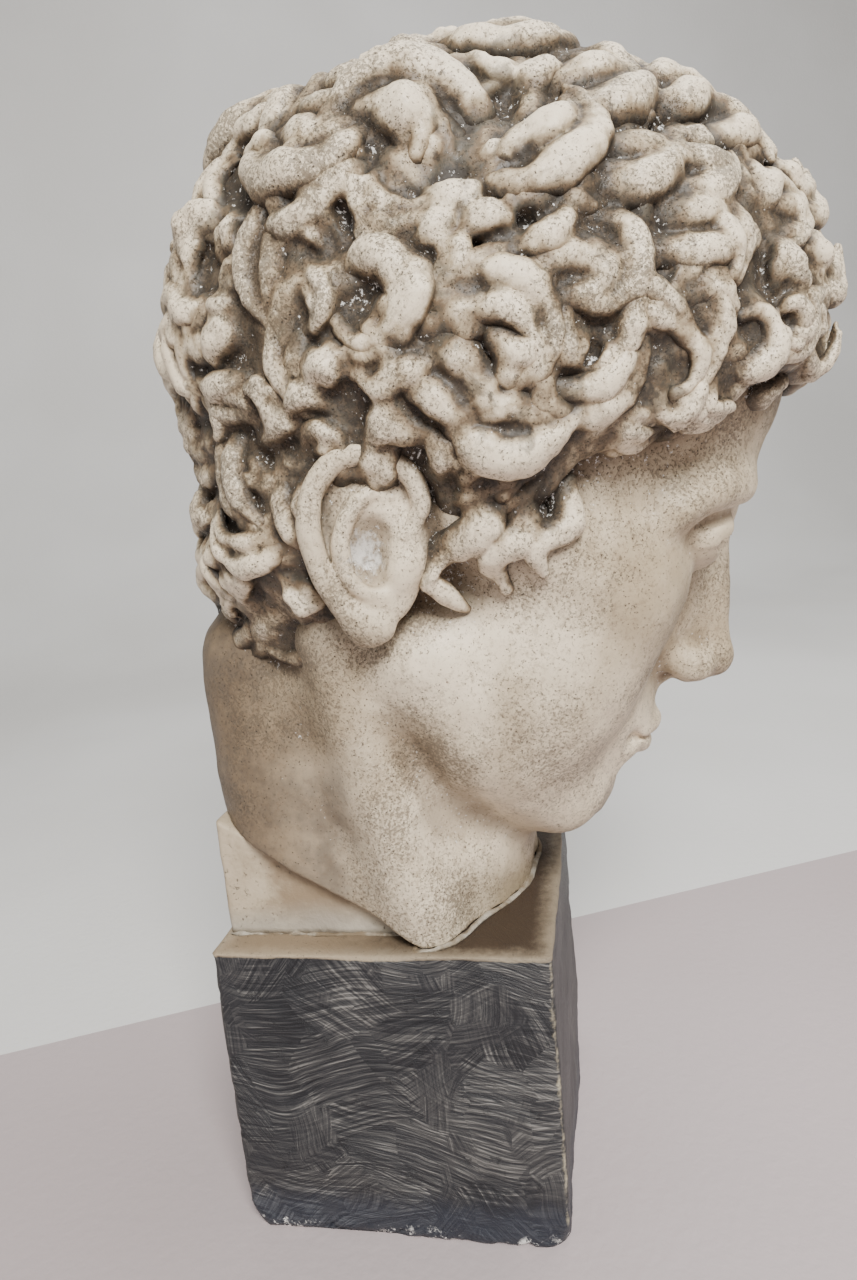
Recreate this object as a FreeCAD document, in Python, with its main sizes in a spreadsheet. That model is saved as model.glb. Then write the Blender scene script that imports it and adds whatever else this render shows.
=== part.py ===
import FreeCAD, Part
import os

import Sketcher
from FreeCAD import Placement, Rotation, Vector

# A hollow-cast plaster bust on a square-sided plinth, in millimetres, +Z up.
# The origin is the centre of the plinth's foot. The face looks towards -Y, bowed
# forward and turned a little towards +X. The neck stands on the plinth at the
# front and on a wedge-shaped block at the back, and one threaded rod ties the
# head, the block and the plinth together from inside.

PARTS_FOLDER = "parts"

# Each row is an alias, its value and what it is.
SIZES = [
    ("plinth_depth", 150, "plinth along X"),
    ("plinth_width", 140, "plinth along Y, the way the face looks"),
    ("plinth_height", 133, "foot to the top of the deck"),
    ("plinth_wall", 16, "side wall of the hollow plinth"),
    ("deck", 24, "plinth deck that carries the neck"),
    ("arris_round", 3, "rounding of the upright edges"),
    ("foot_round", 6, "rounding of the bottom edges"),
    ("top_bevel", 1.2, "bevel round the deck"),
    ("block_depth", 116, "support block along X"),
    ("block_back", 67, "back face of the block, along Y"),
    ("block_toe", 1.2, "thickness left at the toe of the wedge"),
    ("slope_start", -19, "where the sloping cut under the neck leaves the deck, along Y"),
    ("slope_angle", 31, "angle of that cut, in degrees"),
    ("rod_diameter", 10, "threaded rod"),
    ("rod_gap", 1, "clearance all round the rod in plaster and timber"),
    ("rod_spare", 6, "thread left beyond each end nut"),
    ("nut_flats", 17, "nut across flats"),
    ("nut_height", 8, "nut height"),
    ("washer_diameter", 30, "upper washer"),
    ("washer_thickness", 2.5, "both washers"),
    ("plate_side", 50, "square plate washer under the deck"),
    ("pad_depth", 84, "timber pad under the deck, along X"),
    ("pad_width", 70, "timber pad under the deck, along Y"),
    ("pad_thickness", 12, "timber pad under the deck"),
    ("pin_diameter", 8, "locating pins between block and deck"),
    ("pin_length", 28, "locating pins"),
    ("pin_spacing", 78, "between the two pins, along X"),
    ("pin_row", 42, "row of the pins, along Y"),
    ("pin_end_gap", 1, "clearance at each end of a pin"),
    ("head_forward", -50, "centre of the cranium, along Y"),
    ("head_lift", 214, "centre of the cranium above the deck"),
    ("head_bow", 22, "how far the head bows, in degrees"),
    ("head_turn", 8, "how far the head turns, in degrees"),
    ("curl_radius", 26, "radius of a hair curl"),
    ("curl_out", 8, "how far a curl stands out of the hair mass"),
    ("skull_across", 88, "half width of the hollow in the head"),
    ("skull_along", 108, "half length of the hollow in the head"),
    ("skull_high", 96, "half height of the hollow in the head"),
    ("skull_offset", 8, "hollow's centre behind and above the cranium's centre"),
    ("fringe_height", 42, "lower edge of the hair over the forehead, above the cranium's centre"),
    ("fringe_start", 108, "how far forward that edge starts to fall towards the ear"),
    ("temple_height", -12, "where the hair's edge turns down in front of the ear"),
    ("temple_start", 38, "how far forward it is there"),
    ("sideburn_start", 28, "how far forward the sideburn's edge is"),
    ("shaft_diameter", 76, "hollow down the neck, above the ledge"),
    ("throat_diameter", 56, "hollow through the ledge"),
    ("ledge_lift", 63, "ledge that the anchor stands on, above the deck"),
    ("anchor_thickness", 26, "timber anchor disc on the ledge"),
    ("anchor_gap", 0.6, "clearance all round the anchor disc"),
    ("bead_reach", 3, "how far the plaster bead stands out of the neck's foot"),
    ("bead_height", 2.4, "height of the plaster bead"),
]

# Level elliptic sections of a form: height, half width, front and back along Y. The
# face is cut by thirds from hairline to chin, on a canon of proportions. The neck's
# heights are above the deck, and the others' above the cranium's centre.
SECTIONS = {
    "face": [
        ("forehead", 52, 77, -103, 18),
        ("brow", -14, 85, -113, 20),
        ("cheek", -55, 79, -106, 12),
        ("lip", -108, 63, -106, 0),
        ("jaw", -143, 43, -106, -34),
        ("chin", -164, 23, -101, -60),
    ],
    "nose": [
        ("root", -10, 8, -118, -98),
        ("bridge", -40, 10, -128, -96),
        ("tip", -74, 17, -134, -96),
        ("foot", -84, 15, -124, -96),
    ],
    "neck": [
        ("base", -7, 64, -52, 70),
        ("throat", 57, 60, -53, 77),
        ("root", 142, 58, -62, 66),
    ],
}

# Rounded forms of the head in its own frame: half sizes across, along and high, then
# the centre across, along Y and up. A form with a centre across is made on both sides.
ROUND_FORMS = {
    "cranium": (84, 112, 110, 0, 2, 0),
    "hair_mass": (108, 124, 108, 0, 2, 14),
    "nape_hair": (84, 66, 80, 0, 36, -58),
    "brow_ridge": (46, 18, 10, 0, -98, -12),
    "eye": (17, 15, 10, 35, -88, -29),
    "upper_lip": (25, 9, 5, 0, -103, -111),
    "lower_lip": (21, 9, 6, 0, -102, -119),
    "chin_ball": (22, 15, 17, 0, -95, -147),
    "ear": (11, 18, 30, 88, 19, -62),
    "eye_socket": (23, 17, 15, 36, -112, -31),
    "ear_bowl": (7, 10, 16, 100, 16, -60),
}
ADDED_TO_FACE = ["cranium", "brow_ridge", "upper_lip", "lower_lip", "chin_ball", "ear"]
FORM_ENDS = ("across", "along", "high", "x", "y", "z")
SECTION_ENDS = ("z", "across", "front", "back")

# Rings of curls: tilt of the ring from the crown in degrees, number of curls and
# whether the ring is closed. An open ring leaves the face free.
CURL_RINGS = [(0, 1, True), (26, 6, True), (50, 10, True), (74, 12, True), (98, 11, False)]
FACE_OPENING = 100  # degrees of an open ring kept clear for the face

LEDGE = "$plinth_height + $ledge_lift"

doc = FreeCAD.newDocument("bust")
sheet = doc.addObject("Spreadsheet::Sheet", "sizes")
cells = list(SIZES)
for name, rows in SECTIONS.items():
    for label, *numbers in rows:
        cells += [(f"{name}_{label}_{end}", number, f"{name} section")
                  for end, number in zip(SECTION_ENDS, numbers)]
for name, numbers in ROUND_FORMS.items():
    cells += [(f"{name}_{end}", number, f"{name} form")
              for end, number in zip(FORM_ENDS, numbers)]
for row, (alias, value, note) in enumerate(cells, start=1):
    sheet.set(f"A{row}", note)
    sheet.set(f"B{row}", str(value))
    sheet.setAlias(f"B{row}", alias)
doc.recompute()


def size(alias):
    return float(sheet.get(alias))


def bind(thing, **expressions):
    """Binds properties to the sheet: each $name in an expression is one of its cells."""
    for name, expression in expressions.items():
        thing.setExpression(name.replace("__", "."), expression.replace("$", "sizes."))


def labelled(thing, label):
    thing.Label = label
    return thing


# ---- sketches and PartDesign features

def new_body(label):
    return labelled(doc.addObject("PartDesign::Body", label + "_body"), label)


def new_sketch(body, name, role="XY_Plane"):
    plane = next(f for f in body.Origin.OriginFeatures if f.Role == role)
    sketch = body.newObject("Sketcher::SketchObject", name)
    sketch.AttachmentSupport = (plane, [""])
    sketch.MapMode = "FlatFace"
    return sketch


def dimension(sketch, name, expression, kind, *where):
    """Adds a named dimension to a sketch and binds it to the sheet."""
    index = sketch.addConstraint(Sketcher.Constraint(kind, *where, 10.0))
    sketch.renameConstraint(index, name)
    sketch.setExpression("Constraints." + name, expression.replace("$", "sizes."))


def rectangle(body, name, across, along):
    """A rectangle about the origin of the XY plane."""
    sketch = new_sketch(body, name)
    corners = [Vector(-9, -9, 0), Vector(9, -9, 0), Vector(9, 9, 0), Vector(-9, 9, 0)]
    for i in range(4):
        sketch.addGeometry(Part.LineSegment(corners[i], corners[(i + 1) % 4]))
    for i in range(4):
        sketch.addConstraint(Sketcher.Constraint("Coincident", i, 2, (i + 1) % 4, 1))
    for line, kind in enumerate(("Horizontal", "Vertical") * 2):
        sketch.addConstraint(Sketcher.Constraint(kind, line))
    sketch.addConstraint(Sketcher.Constraint("Symmetric", 0, 1, 2, 1, -1, 1))
    dimension(sketch, "across", across, "DistanceX", 0, 1, 0, 2)
    dimension(sketch, "along", along, "DistanceY", 1, 1, 1, 2)
    return sketch


def circle(body, name, diameter, x="0", y="0"):
    """A circle on the XY plane. An x or y that isn't 0 is a distance towards +X or +Y."""
    sketch = new_sketch(body, name)
    sketch.addGeometry(Part.Circle(Vector(5, 5, 0), Vector(0, 0, 1), 4))
    dimension(sketch, "diameter", diameter, "Diameter", 0)
    if x == "0" and y == "0":
        sketch.addConstraint(Sketcher.Constraint("Coincident", 0, 3, -1, 1))
    else:
        dimension(sketch, "x", x, "DistanceX", -1, 1, 0, 3)
        dimension(sketch, "y", y, "DistanceY", -1, 1, 0, 3)
    return sketch


def hexagon(body, name, flats):
    """A regular hexagon about the origin, by its distance across flats."""
    sketch = new_sketch(body, name)
    points = [Vector(10, 0, 0), Vector(5, 9, 0), Vector(-5, 9, 0)]
    points += [-p for p in points]
    for i in range(6):
        sketch.addGeometry(Part.LineSegment(points[i], points[(i + 1) % 6]))
    ring = sketch.addGeometry(Part.Circle(Vector(0, 0, 0), Vector(0, 0, 1), 10), True)
    for i in range(6):
        sketch.addConstraint(Sketcher.Constraint("Coincident", i, 2, (i + 1) % 6, 1))
        sketch.addConstraint(Sketcher.Constraint("PointOnObject", i, 1, ring))
    for i in range(1, 6):
        sketch.addConstraint(Sketcher.Constraint("Equal", 0, i))
    sketch.addConstraint(Sketcher.Constraint("Coincident", ring, 3, -1, 1))
    sketch.addConstraint(Sketcher.Constraint("Horizontal", 1))
    dimension(sketch, "flats", flats, "Distance", 1, 1, 4)
    return sketch


def pad(body, sketch, name, length, symmetric=False):
    feature = body.newObject("PartDesign::Pad", name)
    feature.Profile = sketch
    feature.SideType = "Symmetric" if symmetric else "One side"
    bind(feature, Length=length)
    sketch.Visibility = False
    doc.recompute()
    return feature


def pocket(body, sketch, name, length):
    """Cuts upwards from the body's own XY plane, and makes sure that it cut something."""
    before = body.Shape.Volume
    feature = body.newObject("PartDesign::Pocket", name)
    feature.Profile = sketch
    feature.Reversed = True
    bind(feature, Length=length)
    doc.recompute()
    if body.Shape.Volume > before - 1:
        raise RuntimeError(f"{name} cut nothing from {body.Label}")
    return feature


def edges_where(shape, test):
    """Names of the straight edges whose direction and middle pass the test."""
    names = []
    for number, edge in enumerate(shape.Edges, start=1):
        if edge.Degenerated or not isinstance(edge.Curve, Part.Line):
            continue
        if test(edge.tangentAt(edge.FirstParameter), edge.CenterOfMass):
            names.append(f"Edge{number}")
    return names


def dress(body, kind, name, edges, **expressions):
    """Adds a fillet or chamfer to the tip of a body."""
    base = body.Tip
    feature = body.newObject("PartDesign::" + kind, name)
    feature.Base = (base, edges)
    bind(feature, **expressions)
    doc.recompute()
    return feature


# ---- Part primitives in the head's own frame

def ellipsoid(name, across, along, high, x="0", y="0", z="0"):
    shape = doc.addObject("Part::Ellipsoid", name)
    shape.Angle1 = -90
    shape.Angle2 = 90
    bind(shape, Radius1=high, Radius2=across, Radius3=along,
         Placement__Base__x=x, Placement__Base__y=y, Placement__Base__z=z)
    return shape


def round_form(name):
    """One of the rounded forms, or a pair of them where it sits to one side."""
    sides = [("", "")] if size(name + "_x") == 0 else [("_right", "-"), ("_left", "")]
    return [
        ellipsoid(name + side, *(f"${name}_{end}" for end in FORM_ENDS[:3]),
                  x=f"{sign}${name}_x", y=f"${name}_y", z=f"${name}_z")
        for side, sign in sides
    ]


def cylinder(name, diameter, height, z):
    shape = doc.addObject("Part::Cylinder", name)
    bind(shape, Radius=f"({diameter}) / 2", Height=height, Placement__Base__z=z)
    return shape


def fused(name, shapes):
    whole = doc.addObject("Part::MultiFuse", name)
    whole.Shapes = shapes
    whole.Refine = False  # the curved faces meet at shallow angles, which refining upsets
    return whole


def cut(name, base, tool):
    piece = doc.addObject("Part::Cut", name)
    piece.Base = base
    piece.Tool = tool
    piece.Refine = False
    return piece


def ellipse_loft(name, lift="0"):
    """A solid through the level ellipses of one of the section lists, lifted as a whole."""
    rings = []
    for label, *_ in SECTIONS[name]:
        ring = doc.addObject("Part::Ellipse", f"{name}_{label}")
        cell = f"${name}_{label}"
        along = f"({cell}_back - {cell}_front) / 2"
        bind(ring, MajorRadius=f"max({cell}_across; {along})",
             MinorRadius=f"min({cell}_across; {along})",
             Placement__Base__y=f"({cell}_back + {cell}_front) / 2",
             Placement__Base__z=f"{lift} + {cell}_z",
             Placement__Rotation__Angle=f"{cell}_across >= {along} ? 0 : 90")
        rings.append(ring)
    loft = doc.addObject("Part::Loft", name)
    loft.Sections = rings
    loft.Solid = True
    loft.Ruled = False
    return loft


# ---- plinth

def make_plinth():
    body = new_body("plinth")
    outline = rectangle(body, "plinth_outline", "$plinth_depth", "$plinth_width")
    pad(body, outline, "plinth_block", "$plinth_height")
    height = size("plinth_height")
    dress(body, "Fillet", "plinth_arrises",
          edges_where(body.Shape, lambda along, middle: abs(along.z) > 0.9),
          Radius="$arris_round")
    core = rectangle(body, "plinth_core",
                     "$plinth_depth - 2 * $plinth_wall", "$plinth_width - 2 * $plinth_wall")
    pocket(body, core, "plinth_hollow", "$plinth_height - $deck")
    hole = circle(body, "plinth_rod_hole_outline", "$rod_diameter + 2 * $rod_gap")
    pocket(body, hole, "plinth_rod_hole", "$plinth_height + 1")
    half_x, half_y = size("plinth_depth") / 2, size("plinth_width") / 2

    def on_outside(along, middle, z):
        at_side = abs(abs(middle.x) - half_x) < 0.01 or abs(abs(middle.y) - half_y) < 0.01
        return abs(along.z) < 0.1 and abs(middle.z - z) < 0.01 and at_side

    foot = edges_where(body.Shape, lambda along, middle: on_outside(along, middle, 0))
    dress(body, "Fillet", "plinth_foot", foot, Radius="$foot_round")
    rim = edges_where(body.Shape, lambda along, middle: on_outside(along, middle, height))
    dress(body, "Chamfer", "plinth_rim", rim, Size="$top_bevel")
    return body


def pin_socket(name, z, length):
    """Two pin holes, as one tool, from height z up."""
    tools = []
    for side, sign in (("near", "-"), ("far", "")):
        tool = cylinder(f"{name}_{side}", "$pin_diameter", length, z)
        bind(tool, Placement__Base__x=f"{sign}$pin_spacing / 2", Placement__Base__y="$pin_row")
        tools.append(tool)
    return fused(name, tools)


# ---- support block

def slope_tan():
    return "tan($slope_angle * 1 deg)"


def make_block_blank():
    """The wedge behind the neck: a profile on the YZ plane, padded both ways along X."""
    body = new_body("neck_block_blank")
    sketch = new_sketch(body, "block_profile", "YZ_Plane")
    points = [Vector(-15, 133, 0), Vector(67, 133, 0), Vector(67, 185, 0), Vector(-15, 134, 0)]
    for i in range(4):
        sketch.addGeometry(Part.LineSegment(points[i], points[(i + 1) % 4]))
    for i in range(4):
        sketch.addConstraint(Sketcher.Constraint("Coincident", i, 2, (i + 1) % 4, 1))
    sketch.addConstraint(Sketcher.Constraint("Horizontal", 0))
    sketch.addConstraint(Sketcher.Constraint("Vertical", 1))
    sketch.addConstraint(Sketcher.Constraint("Vertical", 3))
    dimension(sketch, "deck_level", "$plinth_height", "DistanceY", -1, 1, 0, 1)
    dimension(sketch, "back", "$block_back", "DistanceX", -1, 1, 0, 2)
    dimension(sketch, "toe", "$block_toe", "DistanceY", 0, 1, 3, 1)
    dimension(sketch, "length", f"$block_back - $slope_start - $block_toe / {slope_tan()}",
              "DistanceX", 0, 1, 0, 2)
    dimension(sketch, "back_height", f"($block_back - $slope_start) * {slope_tan()}",
              "DistanceY", 1, 1, 1, 2)
    pad(body, sketch, "block_wedge", "$block_depth", symmetric=True)
    return body


# ---- head

def head_placement():
    """Bows the head, then turns it, and lifts it to its place over the neck."""
    turn = Rotation(Vector(0, 0, 1), size("head_turn"))
    bow = Rotation(Vector(1, 0, 0), size("head_bow"))
    height = size("plinth_height") + size("head_lift")
    return Placement(Vector(0, size("head_forward"), height), turn * bow)


def make_face_opening():
    """What the hair leaves clear: a profile on the YZ plane, padded right across the head."""
    body = new_body("face_opening")
    sketch = new_sketch(body, "opening_profile", "YZ_Plane")
    points = [(-250, 42), (-108, 42), (-38, -12), (-28, -60), (-28, -200), (-250, -200)]
    points = [Vector(y, z, 0) for y, z in points]
    for i in range(6):
        sketch.addGeometry(Part.LineSegment(points[i], points[(i + 1) % 6]))
    for i in range(6):
        sketch.addConstraint(Sketcher.Constraint("Coincident", i, 2, (i + 1) % 6, 1))
    for line, kind in ((0, "Horizontal"), (3, "Vertical"), (4, "Horizontal"), (5, "Vertical")):
        sketch.addConstraint(Sketcher.Constraint(kind, line))
    dimension(sketch, "fringe", "$fringe_height", "DistanceY", -1, 1, 0, 1)
    dimension(sketch, "fringe_from", "$fringe_start", "DistanceX", 0, 2, -1, 1)
    dimension(sketch, "temple", "-$temple_height", "DistanceY", 1, 2, -1, 1)
    dimension(sketch, "temple_from", "$temple_start", "DistanceX", 1, 2, -1, 1)
    dimension(sketch, "sideburn_from", "$sideburn_start", "DistanceX", 2, 2, -1, 1)
    dimension(sketch, "sideburn", "$ear_high * 2", "DistanceY", 2, 2, -1, 1)
    dimension(sketch, "reach_down", "-$face_chin_z * 1.5", "DistanceY", 3, 2, -1, 1)
    dimension(sketch, "reach_out", "-$face_brow_front * 2", "DistanceX", 4, 2, -1, 1)
    pad(body, sketch, "opening", "$hair_mass_across * 3", symmetric=True)
    return body


def make_head_mass():
    """The head's outside, made in its own frame and then put in place."""
    hair = fused("hair_whole", round_form("hair_mass") + round_form("nape_hair") + make_curls())
    solids = [ellipse_loft("face"), ellipse_loft("nose"), cut("hair", hair, make_face_opening())]
    for name in ADDED_TO_FACE:
        solids += round_form(name)
    mass = fused("head_mass", solids)
    mass.Placement = head_placement()
    return mass


def make_face_hollows():
    """Eye sockets and ear bowls. The sockets are cut round the eyes, so the eyes stay."""
    sockets = fused("sockets", round_form("eye_socket") + round_form("ear_bowl"))
    hollows = cut("face_hollows", sockets, fused("eyes", round_form("eye")))
    hollows.Placement = head_placement()
    return hollows


def make_curls():
    """Round curls in rings over the hair, from the crown down."""
    curls = []
    sunk = size("curl_radius") - size("curl_out")
    for ring, (tilt, count, closed) in enumerate(CURL_RINGS):
        step = 360.0 / count if closed else (360.0 - FACE_OPENING) / (count - 1)
        start = step / 2 * (ring % 2) if closed else 90 - step * (count - 1) / 2
        for number in range(count):
            turn = Rotation(Vector(0, 0, 1), start + number * step)
            out = turn.multVec(Rotation(Vector(0, 1, 0), tilt).multVec(Vector(0, 0, 1)))
            curl = doc.addObject("Part::Sphere", f"curl_{ring}_{number}")
            bind(curl, Radius="$curl_radius")
            curl.Placement.Base = Vector(*(
                part * (size("hair_mass_" + half) - sunk) + size("hair_mass_" + centre)
                for part, half, centre in zip(out, ("across", "along", "high"), "xyz")
            ))
            curls.append(curl)
    return curls


def make_underside():
    """Everything below the neck: the deck level at the front, the sloping cut behind."""
    below = doc.addObject("Part::Box", "below_deck")
    bind(below, Length="4 * $plinth_depth", Width="4 * $plinth_width", Height="$plinth_height",
         Placement__Base__x="-2 * $plinth_depth", Placement__Base__y="-2 * $plinth_width")
    slope = doc.addObject("Part::Box", "below_slope")
    bind(slope, Length="4 * $plinth_depth", Width="2 * $plinth_width", Height="$plinth_height")
    slope.Placement = Placement(
        Vector(-2 * size("plinth_depth"), size("slope_start"), size("plinth_height")),
        Rotation(Vector(1, 0, 0), size("slope_angle")),
        Vector(0, 0, 0),
    )
    # The box hangs below its own top face, so the top face is the cut.
    down = slope.Placement.Rotation.multVec(Vector(0, 0, -size("plinth_height")))
    slope.Placement.Base = slope.Placement.Base + down
    return fused("underside", [below, slope])


def make_head_hollow():
    """The core of the cast: the skull, the shaft down the neck and the ledge's throat."""
    skull = doc.addObject("Part::Ellipsoid", "skull_core")
    skull.Angle1 = -90
    skull.Angle2 = 90
    bind(skull, Radius1="$skull_high", Radius2="$skull_across", Radius3="$skull_along")
    offset = size("skull_offset")
    skull.Placement = head_placement() * Placement(Vector(0, offset, offset), Rotation())
    shaft = cylinder("neck_shaft", "$shaft_diameter", "$head_lift - $ledge_lift", LEDGE)
    throat = cylinder("ledge_throat", "$throat_diameter", "$ledge_lift + 2",
                      "$plinth_height - 1")
    return fused("head_hollow", [skull, shaft, throat])


def make_head():
    neck = ellipse_loft("neck", "$plinth_height")
    outside = fused("head_outside", [make_head_mass(), neck])
    trimmed = cut("head_trimmed", outside, make_underside())
    carved = cut("head_carved", trimmed, make_face_hollows())
    return labelled(cut("head_cast_solid", carved, make_head_hollow()), "head_cast")


# ---- fixings inside

def make_disc(label, diameter, thickness, hole, z):
    """A round disc with a round hole, lifted to height z."""
    body = new_body(label)
    pad(body, circle(body, label + "_rim", diameter), label + "_disc", thickness)
    pocket(body, circle(body, label + "_bore", hole), label + "_hole", thickness)
    bind(body, Placement__Base__z=z)
    return body


def make_plate(label, across, along, thickness, hole, z):
    body = new_body(label)
    pad(body, rectangle(body, label + "_rim", across, along), label + "_slab", thickness)
    pocket(body, circle(body, label + "_bore", hole), label + "_hole", thickness)
    bind(body, Placement__Base__z=z)
    return body


def make_nut(label, z):
    body = new_body(label)
    pad(body, hexagon(body, label + "_flats", "$nut_flats"), label + "_hexagon", "$nut_height")
    pocket(body, circle(body, label + "_bore", "$rod_diameter"), label + "_hole", "$nut_height")
    bind(body, Placement__Base__z=z)
    return body


def make_bead(block, head):
    """The bead of plaster run round the foot of the block and the neck."""
    around_block = doc.addObject("Part::Box", "bead_round_block")
    bind(around_block, Length="$block_depth + 2 * $bead_reach", Height="$bead_height",
         Width=f"$block_back - $slope_start - $block_toe / {slope_tan()} + 2 * $bead_reach",
         Placement__Base__x="-$block_depth / 2 - $bead_reach",
         Placement__Base__y=f"$slope_start + $block_toe / {slope_tan()} - $bead_reach",
         Placement__Base__z="$plinth_height")
    foot = doc.addObject("Part::Ellipse", "bead_foot")
    bind(foot, MajorRadius="$neck_base_across + $bead_reach",
         MinorRadius="($neck_base_back - $neck_base_front) / 2 + $bead_reach",
         Placement__Base__y="($neck_base_back + $neck_base_front) / 2",
         Placement__Base__z="$plinth_height")
    doc.recompute()
    disc = doc.addObject("Part::Extrusion", "bead_round_neck")
    disc.Base = foot
    disc.Dir = Vector(0, 0, 1)
    disc.Solid = True
    bind(disc, LengthFwd="$bead_height")
    front = doc.addObject("Part::Box", "bead_front")
    bind(front, Length="2 * $plinth_depth", Width="$plinth_width", Height="$plinth_height",
         Placement__Base__x="-$plinth_depth", Placement__Base__y="$slope_start - $plinth_width",
         Placement__Base__z="$plinth_height - 1")
    around_neck = doc.addObject("Part::MultiCommon", "bead_before_neck")
    around_neck.Shapes = [disc, front]
    around_neck.Refine = False
    whole = fused("bead_whole", [around_block, around_neck])
    off_block = cut("bead_off_block", whole, block)
    return labelled(cut("bead_solid", off_block, head), "plaster_bead")


nodes = []
plinth_body = make_plinth()
block_blank = make_block_blank()
plinth_body.Label = "plinth_blank"
sockets = pin_socket("pin_sockets", "$plinth_height - $pin_length / 2 - $pin_end_gap",
                     "$pin_length + 2 * $pin_end_gap")
nodes.append(labelled(cut("plinth_solid", plinth_body, sockets), "plinth"))
rod_way = cylinder("rod_way", "$rod_diameter + 2 * $rod_gap", "$plinth_height",
                   "$plinth_height - 1")
block_tools = fused("block_tools", [sockets, rod_way])
nodes.append(labelled(cut("neck_block_solid", block_blank, block_tools), "neck_block"))
nodes.append(make_head())

pins = []
for side, sign in (("near", "-"), ("far", "")):
    pin = cylinder(f"pin_{side}", "$pin_diameter", "$pin_length",
                   "$plinth_height - $pin_length / 2")
    bind(pin, Placement__Base__x=f"{sign}$pin_spacing / 2", Placement__Base__y="$pin_row")
    pins.append(pin)
locating_pins = doc.addObject("Part::Compound", "pin_pair")
locating_pins.Links = pins
nodes.append(labelled(locating_pins, "locating_pins"))

UNDER_DECK = "$plinth_height - $deck"
ANCHOR_TOP = f"{LEDGE} + $anchor_thickness"
ROD_FOOT = f"{UNDER_DECK} - $pad_thickness - $washer_thickness - 2 * $nut_height - $rod_spare"
ROD_HEAD = f"{ANCHOR_TOP} + $washer_thickness + $nut_height + $rod_spare"
LOOSE_BORE = "$rod_diameter + 2 * $rod_gap"
nodes.append(make_disc("rod_anchor", "$shaft_diameter - 2 * $anchor_gap", "$anchor_thickness",
                       LOOSE_BORE, LEDGE))
nodes.append(make_disc("anchor_washer", "$washer_diameter", "$washer_thickness", LOOSE_BORE,
                       ANCHOR_TOP))
nodes.append(make_nut("anchor_nut", f"{ANCHOR_TOP} + $washer_thickness"))
nodes.append(make_plate("deck_pad", "$pad_depth", "$pad_width", "$pad_thickness", LOOSE_BORE,
                        f"{UNDER_DECK} - $pad_thickness"))
nodes.append(make_plate("deck_plate_washer", "$plate_side", "$plate_side", "$washer_thickness",
                        LOOSE_BORE, f"{UNDER_DECK} - $pad_thickness - $washer_thickness"))
nodes.append(make_nut("deck_nut",
                      f"{UNDER_DECK} - $pad_thickness - $washer_thickness - $nut_height"))
nodes.append(make_nut("deck_lock_nut",
                      f"{UNDER_DECK} - $pad_thickness - $washer_thickness - 2 * $nut_height"))
nodes.append(labelled(cylinder("rod", "$rod_diameter", f"({ROD_HEAD}) - ({ROD_FOOT})", ROD_FOOT),
                      "head_rod"))
doc.recompute()
nodes.append(make_bead(block_blank, doc.getObject("head_trimmed")))
doc.recompute()

for thing in doc.Objects:
    if {"Invalid", "Error"} & set(thing.State):
        raise RuntimeError(f"{thing.Label} failed: {thing.State}")

os.makedirs(PARTS_FOLDER, exist_ok=True)
for node in nodes:
    shape = node.Shape
    if shape.isNull() or not shape.isValid() or not shape.Solids:
        raise RuntimeError(f"{node.Label} has no sound solid")
    shape.exportStep(os.path.join(PARTS_FOLDER, node.Label + ".step"))
    box = shape.BoundBox
    print(f"{node.Label}: {len(shape.Solids)} solid(s), {shape.Volume / 1000:.1f} cm3, "
          f"X {box.XMin:.1f}..{box.XMax:.1f} Y {box.YMin:.1f}..{box.YMax:.1f} "
          f"Z {box.ZMin:.1f}..{box.ZMax:.1f}")
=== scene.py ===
import math
import random

import bmesh
import bpy
import numpy as np
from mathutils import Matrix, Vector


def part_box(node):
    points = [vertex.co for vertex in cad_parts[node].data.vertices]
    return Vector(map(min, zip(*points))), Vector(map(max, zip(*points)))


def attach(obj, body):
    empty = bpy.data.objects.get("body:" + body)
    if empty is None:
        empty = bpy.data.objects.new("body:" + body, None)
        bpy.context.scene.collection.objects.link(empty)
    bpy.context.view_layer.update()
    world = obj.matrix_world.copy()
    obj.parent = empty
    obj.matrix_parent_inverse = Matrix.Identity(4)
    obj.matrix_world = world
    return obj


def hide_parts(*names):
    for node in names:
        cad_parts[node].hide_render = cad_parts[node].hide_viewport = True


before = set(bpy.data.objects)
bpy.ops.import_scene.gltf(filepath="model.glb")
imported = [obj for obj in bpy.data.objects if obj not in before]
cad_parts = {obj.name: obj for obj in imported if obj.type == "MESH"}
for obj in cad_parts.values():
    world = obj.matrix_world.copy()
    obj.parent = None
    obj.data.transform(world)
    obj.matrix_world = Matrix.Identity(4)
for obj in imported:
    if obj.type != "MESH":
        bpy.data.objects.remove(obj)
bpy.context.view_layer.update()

import openvdb
from mathutils import Matrix, Vector

# The head is modelled in millimetres in its own frame: x across, -y the way the face
# looks, z up, from the centre of the cranium. Then it is bowed, turned and set down.
headPlace = {"forward": -50, "lift": 214, "bow": 22, "turn": 8}
clayStep = 1.0
farOff = 30  # the distance that empty clay starts with

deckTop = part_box("plinth")[1][2]
toRow = (
    Matrix.Translation((0, headPlace["forward"] / 1000, deckTop + headPlace["lift"] / 1000))
    @ Matrix.Rotation(math.radians(headPlace["turn"]), 4, "Z")
    @ Matrix.Rotation(math.radians(headPlace["bow"]), 4, "X")
    @ Matrix.Scale(0.001, 4)
)
toHead = toRow.inverted()


def inHead(x, y, z):  # a place given in millimetres from the plinth's foot
    return tuple(toHead @ Vector((x / 1000, y / 1000, z / 1000)))


def softMin(a, b, blend):
    if blend <= 0:
        return np.minimum(a, b)
    h = np.clip(0.5 + 0.5 * (b - a) / blend, 0, 1)
    return b + (a - b) * h - blend * h * (1 - h)


# Forms: each is its lowest and highest corner and a distance, negative inside

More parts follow.
